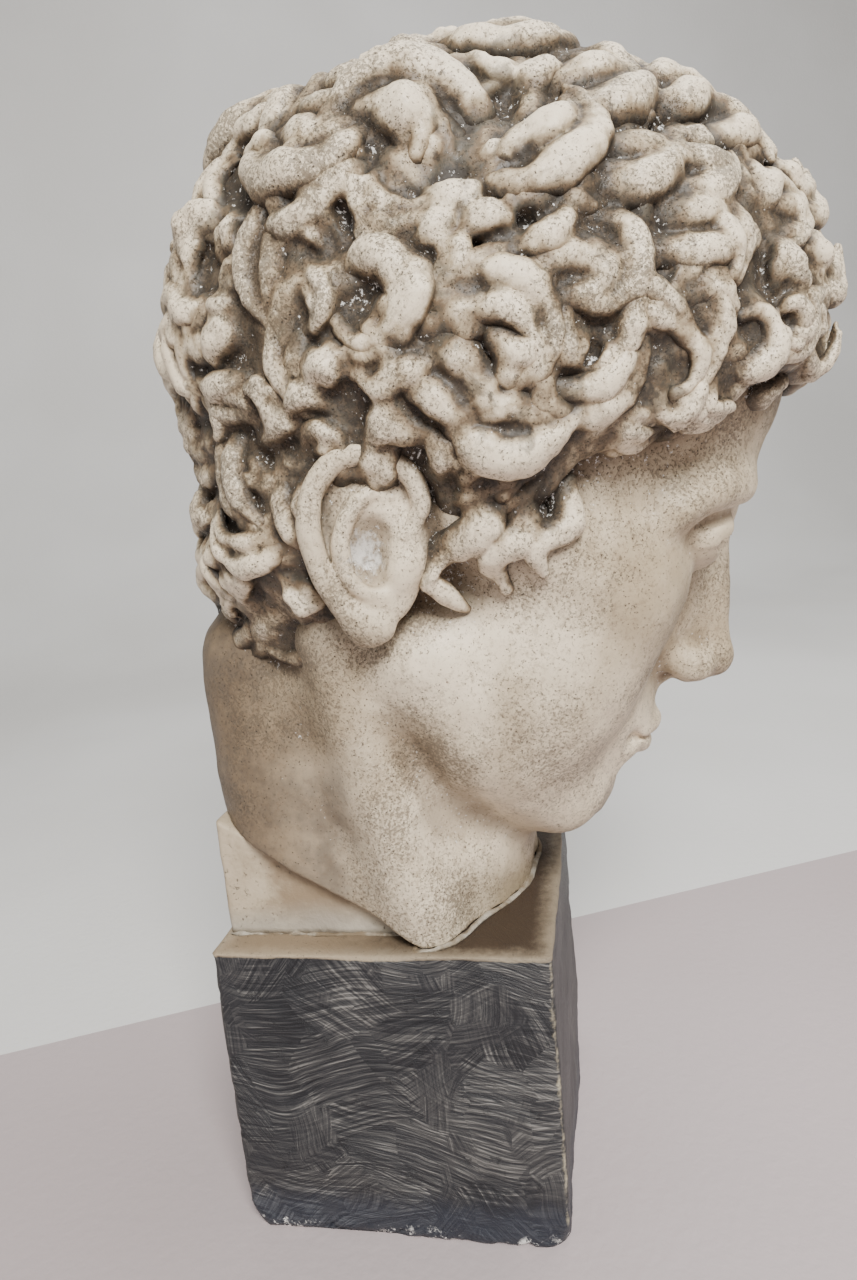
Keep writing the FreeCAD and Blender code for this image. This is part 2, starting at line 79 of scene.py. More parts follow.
def ball(centre, radii, tilt=(0, 0, 0)):
    centre = np.array(centre, np.float32)
    radii = np.broadcast_to(np.array(radii, np.float32), 3)
    turn = None
    if any(tilt):
        turns = [Matrix.Rotation(math.radians(a), 3, axis) for a, axis in zip(tilt, "XYZ")]
        turn = np.array((turns[2] @ turns[1] @ turns[0]).transposed(), np.float32)

    def distance(x, y, z):
        p = [x - centre[0], y - centre[1], z - centre[2]]
        if turn is not None:
            p = [row[0] * p[0] + row[1] * p[1] + row[2] * p[2] for row in turn]
        near = np.sqrt(sum((q / r) ** 2 for q, r in zip(p, radii)))
        steep = np.sqrt(sum((q / (r * r)) ** 2 for q, r in zip(p, radii)))
        return near * (near - 1) / (steep + 1e-6)

    reach = np.full(3, radii.max()) if turn is not None else radii
    return centre - reach, centre + reach, distance


def tube(points, radii):
    points = np.array(points, np.float32)
    radii = np.broadcast_to(np.array(radii, np.float32), len(points))

    def distance(x, y, z):
        best = None
        for a, b, ra, rb in zip(points, points[1:], radii, radii[1:]):
            run = b - a
            px, py, pz = x - a[0], y - a[1], z - a[2]
            t = (px * run[0] + py * run[1] + pz * run[2]) / max(float(run @ run), 1e-6)
            t = np.clip(t, 0, 1)
            d = np.sqrt((px - t * run[0]) ** 2 + (py - t * run[1]) ** 2 + (pz - t * run[2]) ** 2)
            d = d - (ra + t * (rb - ra))
            best = d if best is None else np.minimum(best, d)
        return best

    return points.min(0) - radii.max(), points.max(0) + radii.max(), distance


def smoothLine(points, parts=4):  # a rounded line through a few points
    points = np.array(points, float)
    ends = np.vstack([2 * points[0] - points[1], points, 2 * points[-1] - points[-2]])
    line = []
    for a, b, c, d in zip(ends, ends[1:], ends[2:], ends[3:]):
        for t in np.arange(parts) / parts:
            line.append(0.5 * (2 * b + (c - a) * t + (2 * a - 5 * b + 4 * c - d) * t ** 2
                               + (3 * b - a - 3 * c + d) * t ** 3))
    return np.array(line + [points[-1]])


def roundTube(points, radii, parts=4):
    radii = np.interp(np.linspace(0, 1, (len(points) - 1) * parts + 1),
                      np.linspace(0, 1, len(radii)), radii)
    return tube(smoothLine(points, parts), radii)


def mirrored(form):  # the same form on the other side of the head
    low, high, distance = form
    return (np.array((-high[0], low[1], low[2])), np.array((-low[0], high[1], high[2])),
            lambda x, y, z: distance(-x, y, z))


class Clay:  # a distance field on a grid, added to and carved as clay is
    def __init__(self, low, high, step=clayStep):
        self.step = step
        first = [math.floor(v / (2 * step)) * 2 for v in low]
        last = [math.ceil(v / step) + 1 for v in high]
        self.first = first
        self.axes = [np.arange(a, b, dtype=np.float32) * step for a, b in zip(first, last)]
        self.field = np.full([len(axis) for axis in self.axes], farOff, np.float32)

    def window(self, low, high, margin):
        cut = []
        for axis, a, b in zip(self.axes, low, high):
            begin = max(0, int((a - margin - axis[0]) / self.step))
            end = min(len(axis), int((b + margin - axis[0]) / self.step) + 2)
            if end <= begin:
                return None
            cut.append(slice(begin, end))
        x, y, z = (axis[c] for axis, c in zip(self.axes, cut))
        return tuple(cut), (x[:, None, None], y[None, :, None], z[None, None, :])

    def add(self, form, blend=0.0, carve=False):
        low, high, distance = form
        spot = self.window(low, high, blend + 3 * self.step)
        if spot:
            cut, places = spot
            new = distance(*places).astype(np.float32)
            old = self.field[cut]
            self.field[cut] = -softMin(-old, new, blend) if carve else softMin(old, new, blend)

    def carve(self, form, blend=0.0):
        self.add(form, blend, carve=True)

    def addBoth(self, form, blend=0.0):
        self.add(form, blend)
        self.add(mirrored(form), blend)

    def carveBoth(self, form, blend=0.0):
        self.carve(form, blend)
        self.carve(mirrored(form), blend)

    def trim(self, distance, blend=0.0):  # cuts away everything where distance is negative
        away = distance(*(np.ix_(*self.axes))).astype(np.float32)
        self.field = -softMin(-self.field, away, blend)

    def sample(self, points):
        grid = (points - np.array([axis[0] for axis in self.axes])) / self.step
        grid = np.clip(grid, 0, np.array(self.field.shape) - 1.001)
        base = grid.astype(int)
        part = grid - base
        total = 0  # the eight corners of the cell round each point, each by its nearness
        for corner in np.ndindex(2, 2, 2):
            weight = np.prod(np.where(corner, part, 1 - part), axis=1)
            spot = base + np.array(corner)
            total = total + weight * self.field[spot[:, 0], spot[:, 1], spot[:, 2]]
        return total

    def slope(self, points):
        reach = 1.5 * self.step
        moves = np.eye(3) * reach
        grad = np.stack([self.sample(points + m) - self.sample(points - m) for m in moves], 1)
        return grad / (np.linalg.norm(grad, axis=1, keepdims=True) + 1e-9)


earBowl = (-85, 22, -66)
skinShape = {
    "eyeOut": 34, "eyeUp": -27, "eyeDeep": -92, "eyeRound": 15.2,
    "earOut": 82, "earBack": 21, "earUp": -63, "earTilt": 16,
    "neckAxis": ((0, 6, 118), (0, 6, 160), (0, 10, 200), (0, 4, 240), (0, -10, 285)),
    "slopeStart": -19, "slopeAngle": 31,
}


def lid(side, centre, radii, edge, over):
    # part of a thin shell round the eye, above or below a curved edge
    shell = ball(centre, radii)

    def distance(x, y, z):
        gap = edge[0] + edge[1] * ((x - side * skinShape["eyeOut"]) / 18) ** 2 - z
        return np.maximum(shell[2](x, y, z), gap if over else -gap)

    return shell[0], shell[1], distance


def makeFace(clay):
    add, both, carve, carveBoth = clay.add, clay.addBoth, clay.carve, clay.carveBoth
    add(ball((0, 4, 2), (87, 112, 108)))
    add(ball((0, -30, 26), (79, 87, 62)), 16)
    add(ball((0, -44, -58), (73, 62, 84)), 18)
    add(ball((0, -74, -128), (39, 33, 32)), 20)
    both(roundTube([(62, -10, -100), (50, -42, -128), (24, -82, -148)], (19, 19, 16)), 18)
    both(ball((48, -70, -54), (27, 24, 22)), 20)
    both(ball((46, -52, -92), (31, 38, 40)), 22)
    both(roundTube([(56, -62, -48), (72, -38, -46), (79, -10, -44)], (13, 11, 9)), 20)
    both(roundTube([(7, -106, -9), (30, -106.5, -6), (53, -94, -10), (66, -80, -20)],
                   (6.5, 7.5, 6.5, 5)), 14)
    carveBoth(ball((88, -74, 4), (13, 26, 26)), 14)
    carveBoth(ball((35, -123, -29), (24, 21, 14.5), (0, 6, 0)), 12)
    # nose
    add(ball((0, -102, -60), (18, 20, 30)), 14)
    add(roundTube([(0, -105, 0), (0, -114, -32), (0, -128, -72)], (9, 7.4, 8.4)), 10)
    add(ball((0, -129, -77), (10, 10.5, 9)), 7)
    both(ball((12.5, -119, -80), (6.5, 11, 8)), 6)
    add(roundTube([(0, -127, -85), (0, -115, -90)], (4.2, 4)), 4)
    carveBoth(ball((7.5, -123, -90), (3.8, 7, 5), (20, 0, 12)), 3)
    # mouth and chin
    add(ball((0, -90, -112), (33, 24, 25)), 14)
    carve(roundTube([(0, -118, -94), (0, -117, -105)], (2.6, 3.2)), 6)
    add(roundTube([(-26, -101, -114), (-15, -110, -110.5), (-6, -113.6, -109), (0, -113.2, -110.5),
                   (6, -113.6, -109), (15, -110, -110.5), (26, -101, -114)],
                  (1.5, 3.6, 4.4, 4.2, 4.4, 3.6, 1.5)), 5)
    add(roundTube([(-24, -101, -116), (-12, -109.5, -119.5), (0, -111.8, -120.5),
                   (12, -109.5, -119.5), (24, -101, -116)], (1.6, 4.6, 5.6, 4.6, 1.6)), 5)
    carve(roundTube([(-28, -103, -114.5), (-14, -113.6, -114.8), (0, -117, -115.2),
                     (14, -113.6, -114.8), (28, -103, -114.5)], (1.1, 1.5, 1.7, 1.5, 1.1)), 1.5)
    carve(roundTube([(-15, -109, -131), (0, -112, -132), (15, -109, -131)], (4, 5, 4)), 10)
    add(ball((0, -92, -149), (21, 15, 15)), 10)
    carveBoth(ball((31, -104, -115), (3, 4, 3)), 6)


def makeEyes(clay):
    out, up, deep, size = (skinShape[k] for k in ("eyeOut", "eyeUp", "eyeDeep", "eyeRound"))
    for side in (-1, 1):
        x = side * out
        clay.add(ball((x, deep, up), size), 1)
        clay.add(lid(side, (x, deep - 0.3, up + 1), (21, size + 2.4, 16), (up + 5.5, -8), True), 2.2)
        clay.add(lid(side, (x, deep + 0.2, up - 1), (20.5, size + 1.7, 15), (up - 6, 4.5), False),
                 2.2)
        clay.carve(roundTube([(x - side * 17, -103, -22), (x - side * 6, -110, -15),
                              (x + side * 8, -107.5, -15), (x + side * 21, -93, -23)],
                             (1.2, 1.8, 1.8, 1.2)), 3.5)
        clay.add(ball((x - side * 17, -103, up - 2), (3, 3, 2)), 2)


def makeEars(clay):
    out, back, up = skinShape["earOut"], skinShape["earBack"], skinShape["earUp"]
    tilt = math.radians(skinShape["earTilt"])

    def spot(forward, high, stand):  # a place on the right ear's own flat
        return (-(out + stand), back - forward * math.cos(tilt) + high * math.sin(tilt),
                up + high * math.cos(tilt) + forward * math.sin(tilt))

    def ring(places, radii):
        return roundTube([spot(*p) for p in places], radii)

    lean = (-skinShape["earTilt"], 0, 0)
    clay.addBoth(ball(spot(0, 3, -7), (9, 15, 25), lean), 6)
    clay.addBoth(ball(spot(-2, 7, 0.5), (6.5, 21, 29), lean), 3)
    clay.carveBoth(ball(spot(2, -2, 10), (10.5, 9.5, 14), lean), 3)
    clay.addBoth(ring([(8, -3, 0), (11, 1, 2), (15, 7, 3.5), (18, 15, 5), (14, 25, 6.5),
                       (3, 31, 7.5), (-9, 29, 8), (-17, 20, 8.5), (-19, 7, 8.5),
                       (-16, -6, 8), (-10, -17, 6.5), (-3, -25, 5)],
                      (2.2, 2.8, 3.2, 3.6, 4.0, 4.2, 4.3, 4.3, 4.1, 3.8, 3.7, 4.5)), 2)
    clay.addBoth(ring([(8, 17, 4), (1, 18, 6), (-6, 11, 8), (-8.5, 1, 8.5), (-6.5, -9, 8),
                       (-1, -15, 6.5), (5, -16, 5)], (2.0, 2.6, 3.2, 3.4, 3.2, 3.0, 2.8)), 1.8)
    clay.addBoth(ball(spot(9, -17, -1), (6, 7, 9)), 4)
    clay.addBoth(ball(spot(1, -26, 3), (5.5, 9, 9)), 4)
    clay.addBoth(ball(spot(12, -8, 3), (4.5, 4.5, 7)), 4)
    clay.addBoth(ball(spot(14, -3, -4), (6, 6, 11)), 8)


def makeNeck(clay):
    axis = skinShape["neckAxis"]
    for low, high in zip(axis, axis[1:]):
        for t in (0, 0.5, 1):
            x, y, z = (a + (b - a) * t for a, b in zip(low, high))
            deep = 62 + (z - 118) * 0.05
            clay.add(ball(inHead(x, y, z), (62, deep, 48), (-headPlace["bow"], 0, 0)),
                     10 if t == 0 else 6)
    # the long muscles from behind each ear to the front of the neck's foot, then its back
    for places, radii, blend in (
        (((-66, 2, 262), (-62, -4, 215), (-60, -12, 170), (-57, -20, 124)), (15, 13, 12, 12), 16),
        (((66, 2, 262), (58, -18, 215), (40, -38, 165), (24, -48, 124)), (15, 13, 11, 11), 16),
        (((-36, 52, 250), (-40, 48, 205), (-45, 42, 160)), (17, 18, 19), 20),
        (((36, 52, 250), (42, 48, 205), (46, 42, 160)), (17, 18, 19), 20),
    ):
        clay.add(roundTube([inHead(*place) for place in places], radii), blend)
    clay.add(ball((0, -52, -112), (44, 40, 30)), 20)
    clay.add(ball(inHead(-2, -46, 190), (16, 12, 22)), 14)


def makeSkin():
    clay = Clay((-108, -150, -250), (108, 130, 118))
    makeNeck(clay)
    makeFace(clay)
    makeEyes(clay)
    makeEars(clay)
    rise = math.tan(math.radians(skinShape["slopeAngle"]))
    rows = np.array(toRow) * 1000

    def aboveFoot(x, y, z):  # over the deck and the block's slope
        rowY, rowZ = (row[0] * x + row[1] * y + row[2] * z + row[3] for row in rows[1:3])
        flat = rowZ - deckTop * 1000
        slope = (flat - rise * (rowY - skinShape["slopeStart"])) / math.hypot(1, rise)
        return softMin(flat, slope, 1.0)

    clay.trim(aboveFoot, 1.5)
    # what the hair hides is left out, so the clay goes where it shows
    clay.trim(lambda x, y, z: 84 - z - 0.42 * (y + 100), 2)
    return clay


hairBed = {
    "cap": ((0, 1, 13), (101, 122, 104)),
    "forelock": ((0, -38, 38), (84, 82, 73)),
    "nape": ((0, 33, -56), (80, 60, 75)),
    "ear": (103, 16, -55),
    "small": {"spacing": 14.5, "length": (20, 34), "width": (8, 13), "seed": 3},
    "hairline": ((-108, 44), (-84, 24), (-42, -6), (-32, -30), (-27, -62)),
}

# Locks on the side: degrees round from the face, degrees up, heading (0 to the face,
# 90 up), length, turn in its first and second half, width, strands, tip's rise
sideLocks = [
    (109, 34, 160, 46, 40, 60, 32, 2, 3), (93, 43, 20, 44, 30, 60, 30, 2, 4),
    (72, 52, 10, 40, 30, 70, 27, 2, 5), (57, 47, 30, 38, -20, -80, 24, 2, 5),
    (118, 22, 170, 46, 60, 60, 27, 2, 2), (98, 26, 10, 44, 50, 90, 26, 2, 4),
    (84, 31, 0, 42, 30, 80, 24, 2, 4), (70, 34, -10, 40, 30, 70, 20, 2, 4),
    (60, 32, -20, 34, -30, -80, 18, 2, 5),
    (118, 2, 80, 66, -150, -150, 17, 1, 1), (132, 14, -130, 52, 50, 60, 20, 2, 2),
    (125, -2, -120, 50, 60, 50, 18, 2, 2), (130, -16, -120, 50, -50, -60, 18, 2, 2),
    (140, -26, -110, 46, 50, 50, 18, 2, 2),
    (99, -4, 105, 62, -110, -120, 19, 2, 3), (88, 1, 85, 54, -60, 30, 19, 2, 3),
    (79, 5, 60, 50, -50, -50, 16, 2, 3), (68, 13, 10, 48, -40, -130, 16, 2, 4),
    (69, 24, -10, 36, 30, 60, 24, 2, 3),
    (85, -8, -20, 66, 60, 150, 17, 2, 2), (61, 7, -40, 58, 160, 190, 11, 1, 1),
    (103, -9, 20, 40, -50, -60, 24, 2, 2), (111, -14, -20, 38, 50, 60, 22, 2, 2),
    (94, -13, -30, 44, 40, 50, 26, 2, 1),
    (81, -13, -70, 50, -70, 120, 14, 2, 1), (74, -15, -80, 44, -60, 110, 13, 2, 1),
    (83, -25, -90, 28, 40, -90, 9, 1, 0), (68, -9, -25, 42, 40, -50, 15, 3, 0),
    (57, 0, -20, 38, 40, -60, 14, 3, 0), (49, 9, -50, 40, 120, 150, 11, 1, 1),
    (120, -30, -120, 42, 60, 60, 18, 2, 1), (124, -42, -110, 38, -60, -70, 16, 2, 1),
    (150, -44, -120, 36, 60, 70, 16, 2, 1),
]
# Locks over the brow, standing off it: the same numbers
browLocks = [
    (33, 49, 10, 40, -20, -90, 19, 2, 12), (29, 38, 0, 40, 20, 100, 18, 2, 13),
    (27, 28, -20, 38, 20, 110, 17, 2, 12), (36, 22, -40, 40, 60, 120, 14, 2, 8),
    (28, 16, -50, 34, 60, 130, 13, 2, 8), (43, 33, -10, 38, 30, 100, 18, 2, 8),
    (44, 43, 10, 38, -30, -80, 20, 2, 8), (41, 15, -40, 36, 70, 150, 12, 2, 5),
    (14, 42, -60, 38, 40, 90, 18, 2, 12), (12, 30, -70, 38, 40, 100, 17, 2, 12),
    (10, 19, -80, 32, 60, 120, 14, 2, 8), (16, 55, -30, 40, 40, 80, 20, 2, 9),
]
# Strands before the ear: how far back and how high their points are, and their radii
sideburns = (
    (((-7, -30), (-14, -44), (-7, -58), (-15, -75)), (6.5, 7.5, 6.5, 3)),
    (((-20, -26), (-28, -41), (-20, -54), (-27, -67)), (6.5, 7, 6, 2.8)),
    (((-34, -22), (-41, -34), (-33, -45), (-39, -55)), (6, 6.5, 5.5, 2.4)),
)
lockShape = {
    "spacing": 24, "length": (34, 54), "width": (18, 28), "seed": 11, "steps": 13,
    "stand": 1.3, "mound": 4.0,
}


def makeBed():
    clay = Clay((-114, -142, -142), (114, 148, 132), clayStep * 1.5)
    clay.add(ball(*hairBed["cap"]))
    clay.add(ball(*hairBed["forelock"]), 14)
    clay.add(ball(*hairBed["nape"]), 16)
    line = np.array(hairBed["hairline"], np.float32)

    def behindHairline(x, y, z):
        # the nearest run of the hairline in side view; the face side is negative
        best, side = 1e9, 1
        ends = np.vstack([[line[0][0] - 200, line[0][1] + 6], line, [line[-1][0], -300]])
        for (ay, az), (by, bz) in zip(ends, ends[1:]):
            ry, rz = by - ay, bz - az
            t = np.clip(((y - ay) * ry + (z - az) * rz) / (ry * ry + rz * rz), 0, 1)
            d = np.hypot(y - ay - t * ry, z - az - t * rz)
            turn = ry * (z - az) - rz * (y - ay)
            side = np.where(d < best, np.sign(turn), side)
            best = np.minimum(d, best)
        return best * side

    clay.trim(behindHairline, 7)
    clay.carveBoth(ball((96, 14, -72), (34, 30, 40)), 8)
    return clay


def placeLocks(bed, rows):
    # walks every lock over the bed at once; gives each one's line and outward directions
    table = np.array([row[:6] for row in rows], float)
    around, up = np.radians(table[:, 0]), np.radians(table[:, 1])
    out = np.stack([-np.sin(around) * np.cos(up), -np.cos(around) * np.cos(up), np.sin(up)], 1)
    spot = np.array(hairBed["cap"][0]) + out * 118
    for _ in range(10):
        spot = spot - out * bed.sample(spot)[:, None] * 0.8
    forward = np.stack([np.cos(around), -np.sin(around), 0 * around], 1)
    normal = bed.slope(spot)
    forward -= normal * (forward * normal).sum(1, keepdims=True)
    forward /= np.linalg.norm(forward, axis=1, keepdims=True)
    upward = np.cross(normal, forward)
    upward *= np.sign(upward[:, 2:] + 1e-6)
    way = np.radians(table[:, 2])[:, None]
    heading = forward * np.cos(way) + upward * np.sin(way)
    spin = np.sign((np.cross(forward, upward) * normal).sum(1))
    steps = lockShape["steps"]
    run = table[:, 3] / steps
    line, outs = [spot], [normal]
    for step in range(steps):
        bend = np.where(step < steps / 2, table[:, 4], table[:, 5]) / (steps / 2)
        bend = np.radians(bend)[:, None] * spin[:, None]
        heading = heading * np.cos(bend) + np.cross(normal, heading) * np.sin(bend)
        spot = spot + heading * run[:, None]
        normal = bed.slope(spot)
        spot = spot - normal * np.clip(bed.sample(spot), -6, 6)[:, None]
        heading = heading - normal * (heading * normal).sum(1, keepdims=True)
        heading /= np.linalg.norm(heading, axis=1, keepdims=True) + 1e-9
        line.append(spot)
        outs.append(normal)
    return np.stack(line, 1), np.stack(outs, 1)


def lockForm(line, outs, row, rng):
    # strands side by side, softly joined, that swell, taper and lift at the tip
    width, strands, rise = row[6:9]
    count = len(line)
    s = np.linspace(0, 1, count)
    ahead = np.gradient(line, axis=0)
    ahead /= np.linalg.norm(ahead, axis=1, keepdims=True) + 1e-9
    across = np.cross(outs, ahead)
    full = width / (strands + 0.25)
    stand = lockShape["stand"] + rng.uniform(-1.8, 2.6) + (1.5 if width > 24 else 0)
    swell = (0.78 + 0.45 * np.sin(np.pi * np.clip(s * 1.2, 0, 1))) * (1 - s ** 3.5 * 0.55)
    tubes = []
    for j in range(int(strands)):
        place = j - (strands - 1) / 2
        radius = full * 0.57 * swell * rng.uniform(0.88, 1.12)
        sideways = place * full * 1.02 * swell * (1 - 0.25 * s ** 2)
        height = stand + 3.2 * np.sin(np.pi * s) + rise * s ** 2.2
        height = height - 4.5 * (1 - s) ** 3 + rng.uniform(-1.0, 1.4) - abs(place) * 1.0
        short = rng.uniform(0.84, 1.0) if j else 1.0
        points = line + across * sideways[:, None] + outs * height[:, None]
        keep = max(4, int(round(count * short)))
        tubes.append(tube(points[:keep], radius[:keep]))

    def distance(x, y, z):
        total = tubes[0][2](x, y, z)
        for form in tubes[1:]:
            total = softMin(total, form[2](x, y, z), full * 0.14)
        return total

    return np.min([t[0] for t in tubes], axis=0), np.max([t[1] for t in tubes], axis=0), distance


def moundForm(line, outs, width):  # the low swelling that a lock grows from
    radius = width * (0.55 + 0.25 * np.sin(np.pi * np.linspace(0.1, 0.9, len(line))))
    return tube((line + outs * (lockShape["mound"] - radius)[:, None])[::3], radius[::3])


def ringPlaces(rng, heights, radius, shape, least, extra=0):
    # degrees round and up of places in rings about the head
    for level, up in enumerate(heights):
        around = math.pi * (radius * math.cos(math.radians(up)))
        count = max(least, int(around / shape["spacing"]))
        for i in range(count + extra):
            yield 180 * (i + 0.5 * (level % 2)) / count + rng.uniform(-3, 3), up


def fillLocks(taken, side):
    # rows of seeded locks wherever the chosen ones leave room
    rng = random.Random(lockShape["seed"] + (7 if side < 0 else 0))
    rows = []
    for around, up in ringPlaces(rng, range(-58, 88, 13), 122, lockShape, 2, 1):
        if around > 181 or (up < -25 and around < 112) or (up < -5 and around < 78):
            continue
        if up < 22 and around < 40 - up * 0.9:
            continue
        gap = min((math.hypot((around - a) * math.cos(math.radians(up)), up - b)
                   for a, b in taken), default=99)
        high, low = up > 36, up < 10
        if gap < (14 if high else 10.5):
            continue
        taken = taken + [(around, up)]
        curl = rng.choice((-1, 1))
        rows.append((around, up, rng.uniform(-150, -60) if low else rng.uniform(-60, 60),
                     rng.uniform(*lockShape["length"]) * (1.15 if high else 1),
                     curl * rng.uniform(30, 100),
                     curl * rng.choice((1, 1, -1)) * rng.uniform(50, 140),
                     rng.uniform(*lockShape["width"]) * (1.35 if high else 0.8 if low else 1),
                     3 if high else 2, rng.uniform(1, 4) if around > 40 else rng.uniform(5, 10)))
    return rows


def smallLocks():
    shape = hairBed["small"]
    rng = random.Random(shape["seed"])
    rows = []
    for around, up in ringPlaces(rng, range(-62, 90, 7), 118, shape, 3):
        if (up < -30 and around < 105) or (up < -8 and around < 72) or around + up * 2 < 18:
            continue
        curl = rng.choice((-1, 1))
        rows.append((around, up + rng.uniform(-2, 2), rng.uniform(-180, 180),
                     rng.uniform(*shape["length"]), curl * rng.uniform(40, 120),
                     curl * rng.uniform(60, 160), rng.uniform(*shape["width"]),
                     rng.choice((1, 2)), 0.5))
    return rows


def makeLocks(bed):
    groups = {name: [] for name in ("crown", "brow", "right", "left", "back", "nape")}
    under = []
    for side in (1, -1):  # 1 is the head's right, where the chosen locks are
        if side > 0:
            chosen = sideLocks + browLocks
        else:
            chosen = [(a + 3, b - 2, h + 12, n, c * 1.1, d * 0.9, w, k, r)
                      for a, b, h, n, c, d, w, k, r in browLocks if a > 13]
        rows = chosen + fillLocks([row[:2] for row in chosen], side)
        large = len(rows)
        rows += smallLocks()
        lines, outs = placeLocks(bed, rows)
        if side < 0:
            lines, outs = lines * (-1, 1, 1), outs * (-1, 1, 1)
        rng = random.Random(5 + side)
        for i, (row, line, out) in enumerate(zip(rows, lines, outs)):
            around, up = row[:2]
            if i >= large:
                under.append((lockForm(line[::2], out[::2], row, rng), 1.5))
                continue
            if up > 56:
                name = "crown"
            elif around < 50:
                name = "brow"
            elif up < -36 or (up < -22 and around > 135):
                name = "nape"
            elif around > 138:
                name = "back"
            else:
                name = "right" if side > 0 else "left"
            groups[name].append(lockForm(line, out, row, rng))
            under.insert(0, (moundForm(line, out, row[6]), 6))
    return groups, under


def sideburnForms(skin, side):  # wavy strands that lie on the skin before the ear
    forms = []
    for places, radii in sideburns:
        points = smoothLine([(side * 92, y, z) for y, z in places])
        for _ in range(8):
            points = points - skin.slope(points) * (skin.sample(points) - 1.5)[:, None]
        forms.append(roundTube(points, radii, 1))
    return forms


def makeHair(skin):
    bed = makeBed()
    clays = {"hair_bed": bed}
    groups, under = makeLocks(bed)
    groups["right"] += sideburnForms(skin, -1)
    groups["left"] += sideburnForms(skin, 1)
    for form, blend in under:
        bed.add(form, blend)
    for name, forms in groups.items():
        low = np.min([t[0] for t in forms], axis=0) - 6
        high = np.max([t[1] for t in forms], axis=0) + 6
        clay = Clay(low, high)
        for form in forms:
            clay.add(form, 0.7)
        clay.carveBoth(ball(hairBed["ear"], (23, 26, 43), (-skinShape["earTilt"], 0, 0)), 3)
        clays["hair_" + name] = clay
        print("hair", name, len(forms), clay.field.shape)
    return clays


def boxBlur(field, reach):
    for axis in range(3):
        size = 2 * reach + 1
        pad = [(size, size) if a == axis else (0, 0) for a in range(3)]
        total = np.cumsum(np.pad(field, pad, mode="edge"), axis=axis, dtype=np.float64)
        count = field.shape[axis]
        first = np.take(total, np.arange(count) + size - reach - 1, axis=axis)
        last = np.take(total, np.arange(count) + size + reach, axis=axis)
        field = ((last - first) / size).astype(np.float32)
    return field


def shelter(clays):
    # how much of the space round a place is filled, near by and further off
    whole = Clay((-130, -170, -256), (130, 170, 152), clayStep * 2)
    for clay in clays.values():
        if abs(clay.step - clayStep) > 0.01:
            grid = np.stack(np.meshgrid(*whole.axes, indexing="ij"), -1).reshape(-1, 3)
            inside = np.all([(grid[:, i] > clay.axes[i][0]) & (grid[:, i] < clay.axes[i][-1])
                             for i in range(3)], axis=0)
            values = np.full(len(grid), farOff, np.float32)
            values[inside] = clay.sample(grid[inside])
            whole.field = np.minimum(whole.field, values.reshape(whole.field.shape))
            continue
        part = clay.field[::2, ::2, ::2]
        first = [a // 2 - b for a, b in zip(clay.first, whole.first)]
        spot = tuple(slice(f, f + n) for f, n in zip(first, part.shape))
        room = whole.field[spot]
        part = part[tuple(slice(0, n) for n in room.shape)]
        whole.field[spot] = np.minimum(room, part)
    filled = np.clip(0.5 - whole.field / (2 * whole.step), 0, 1).astype(np.float32)
    near, far = Clay.__new__(Clay), Clay.__new__(Clay)
    for clay, millimetres in ((near, 3), (far, 8)):
        clay.step, clay.axes = whole.step, whole.axes
        reach = max(1, int(round(millimetres / whole.step)))
        clay.field = boxBlur(boxBlur(filled, reach), reach)
    return near, far


def waver(points, size, seed):  # a smooth seeded unevenness, about -1 to 1
    rng = np.random.default_rng(seed)
    total = 0
    for _ in range(10):
        way = rng.normal(size=3)
        way *= rng.uniform(0.7, 1.4) * 2 * math.pi / size / np.linalg.norm(way)
        total = total + np.sin(points @ way + rng.uniform(0, 6.3))
    return total / 3.2


def largeParts(points, quads, smallest=150):
    label = np.arange(len(points))
    while True:
        lowest = label[quads].min(1)
        new = label.copy()
        np.minimum.at(new, quads.ravel(), np.repeat(lowest, 4))
        new = new[new]
        if (new == label).all():
            break
        label = new
    keep = np.bincount(label, minlength=len(points))[label] >= smallest
    quads = quads[keep[quads[:, 0]]]
    index = np.cumsum(keep) - 1
    return points[keep], index[quads]


def newObject(name, mesh):
    thing = bpy.data.objects.new(name, mesh)
    bpy.context.scene.collection.objects.link(thing)
    return thing


def evaluated(thing):  # the object's mesh as its modifiers and curve settings make it
    return bpy.data.meshes.new_from_object(
        thing.evaluated_get(bpy.context.evaluated_depsgraph_get()))


def setPoints(mesh, points):
    mesh.vertices.foreach_set("co", np.ascontiguousarray(points, np.float32).ravel())
    mesh.update()


def readVectors(mesh, rows, label):
    values = np.empty(len(mesh.vertices) * 3, np.float32)
    rows.foreach_get(label, values)
    return values.reshape(-1, 3)


def getPoints(mesh):
    return readVectors(mesh, mesh.vertices, "co")


def getNormals(mesh):
    return readVectors(mesh, mesh.vertex_normals, "vector")


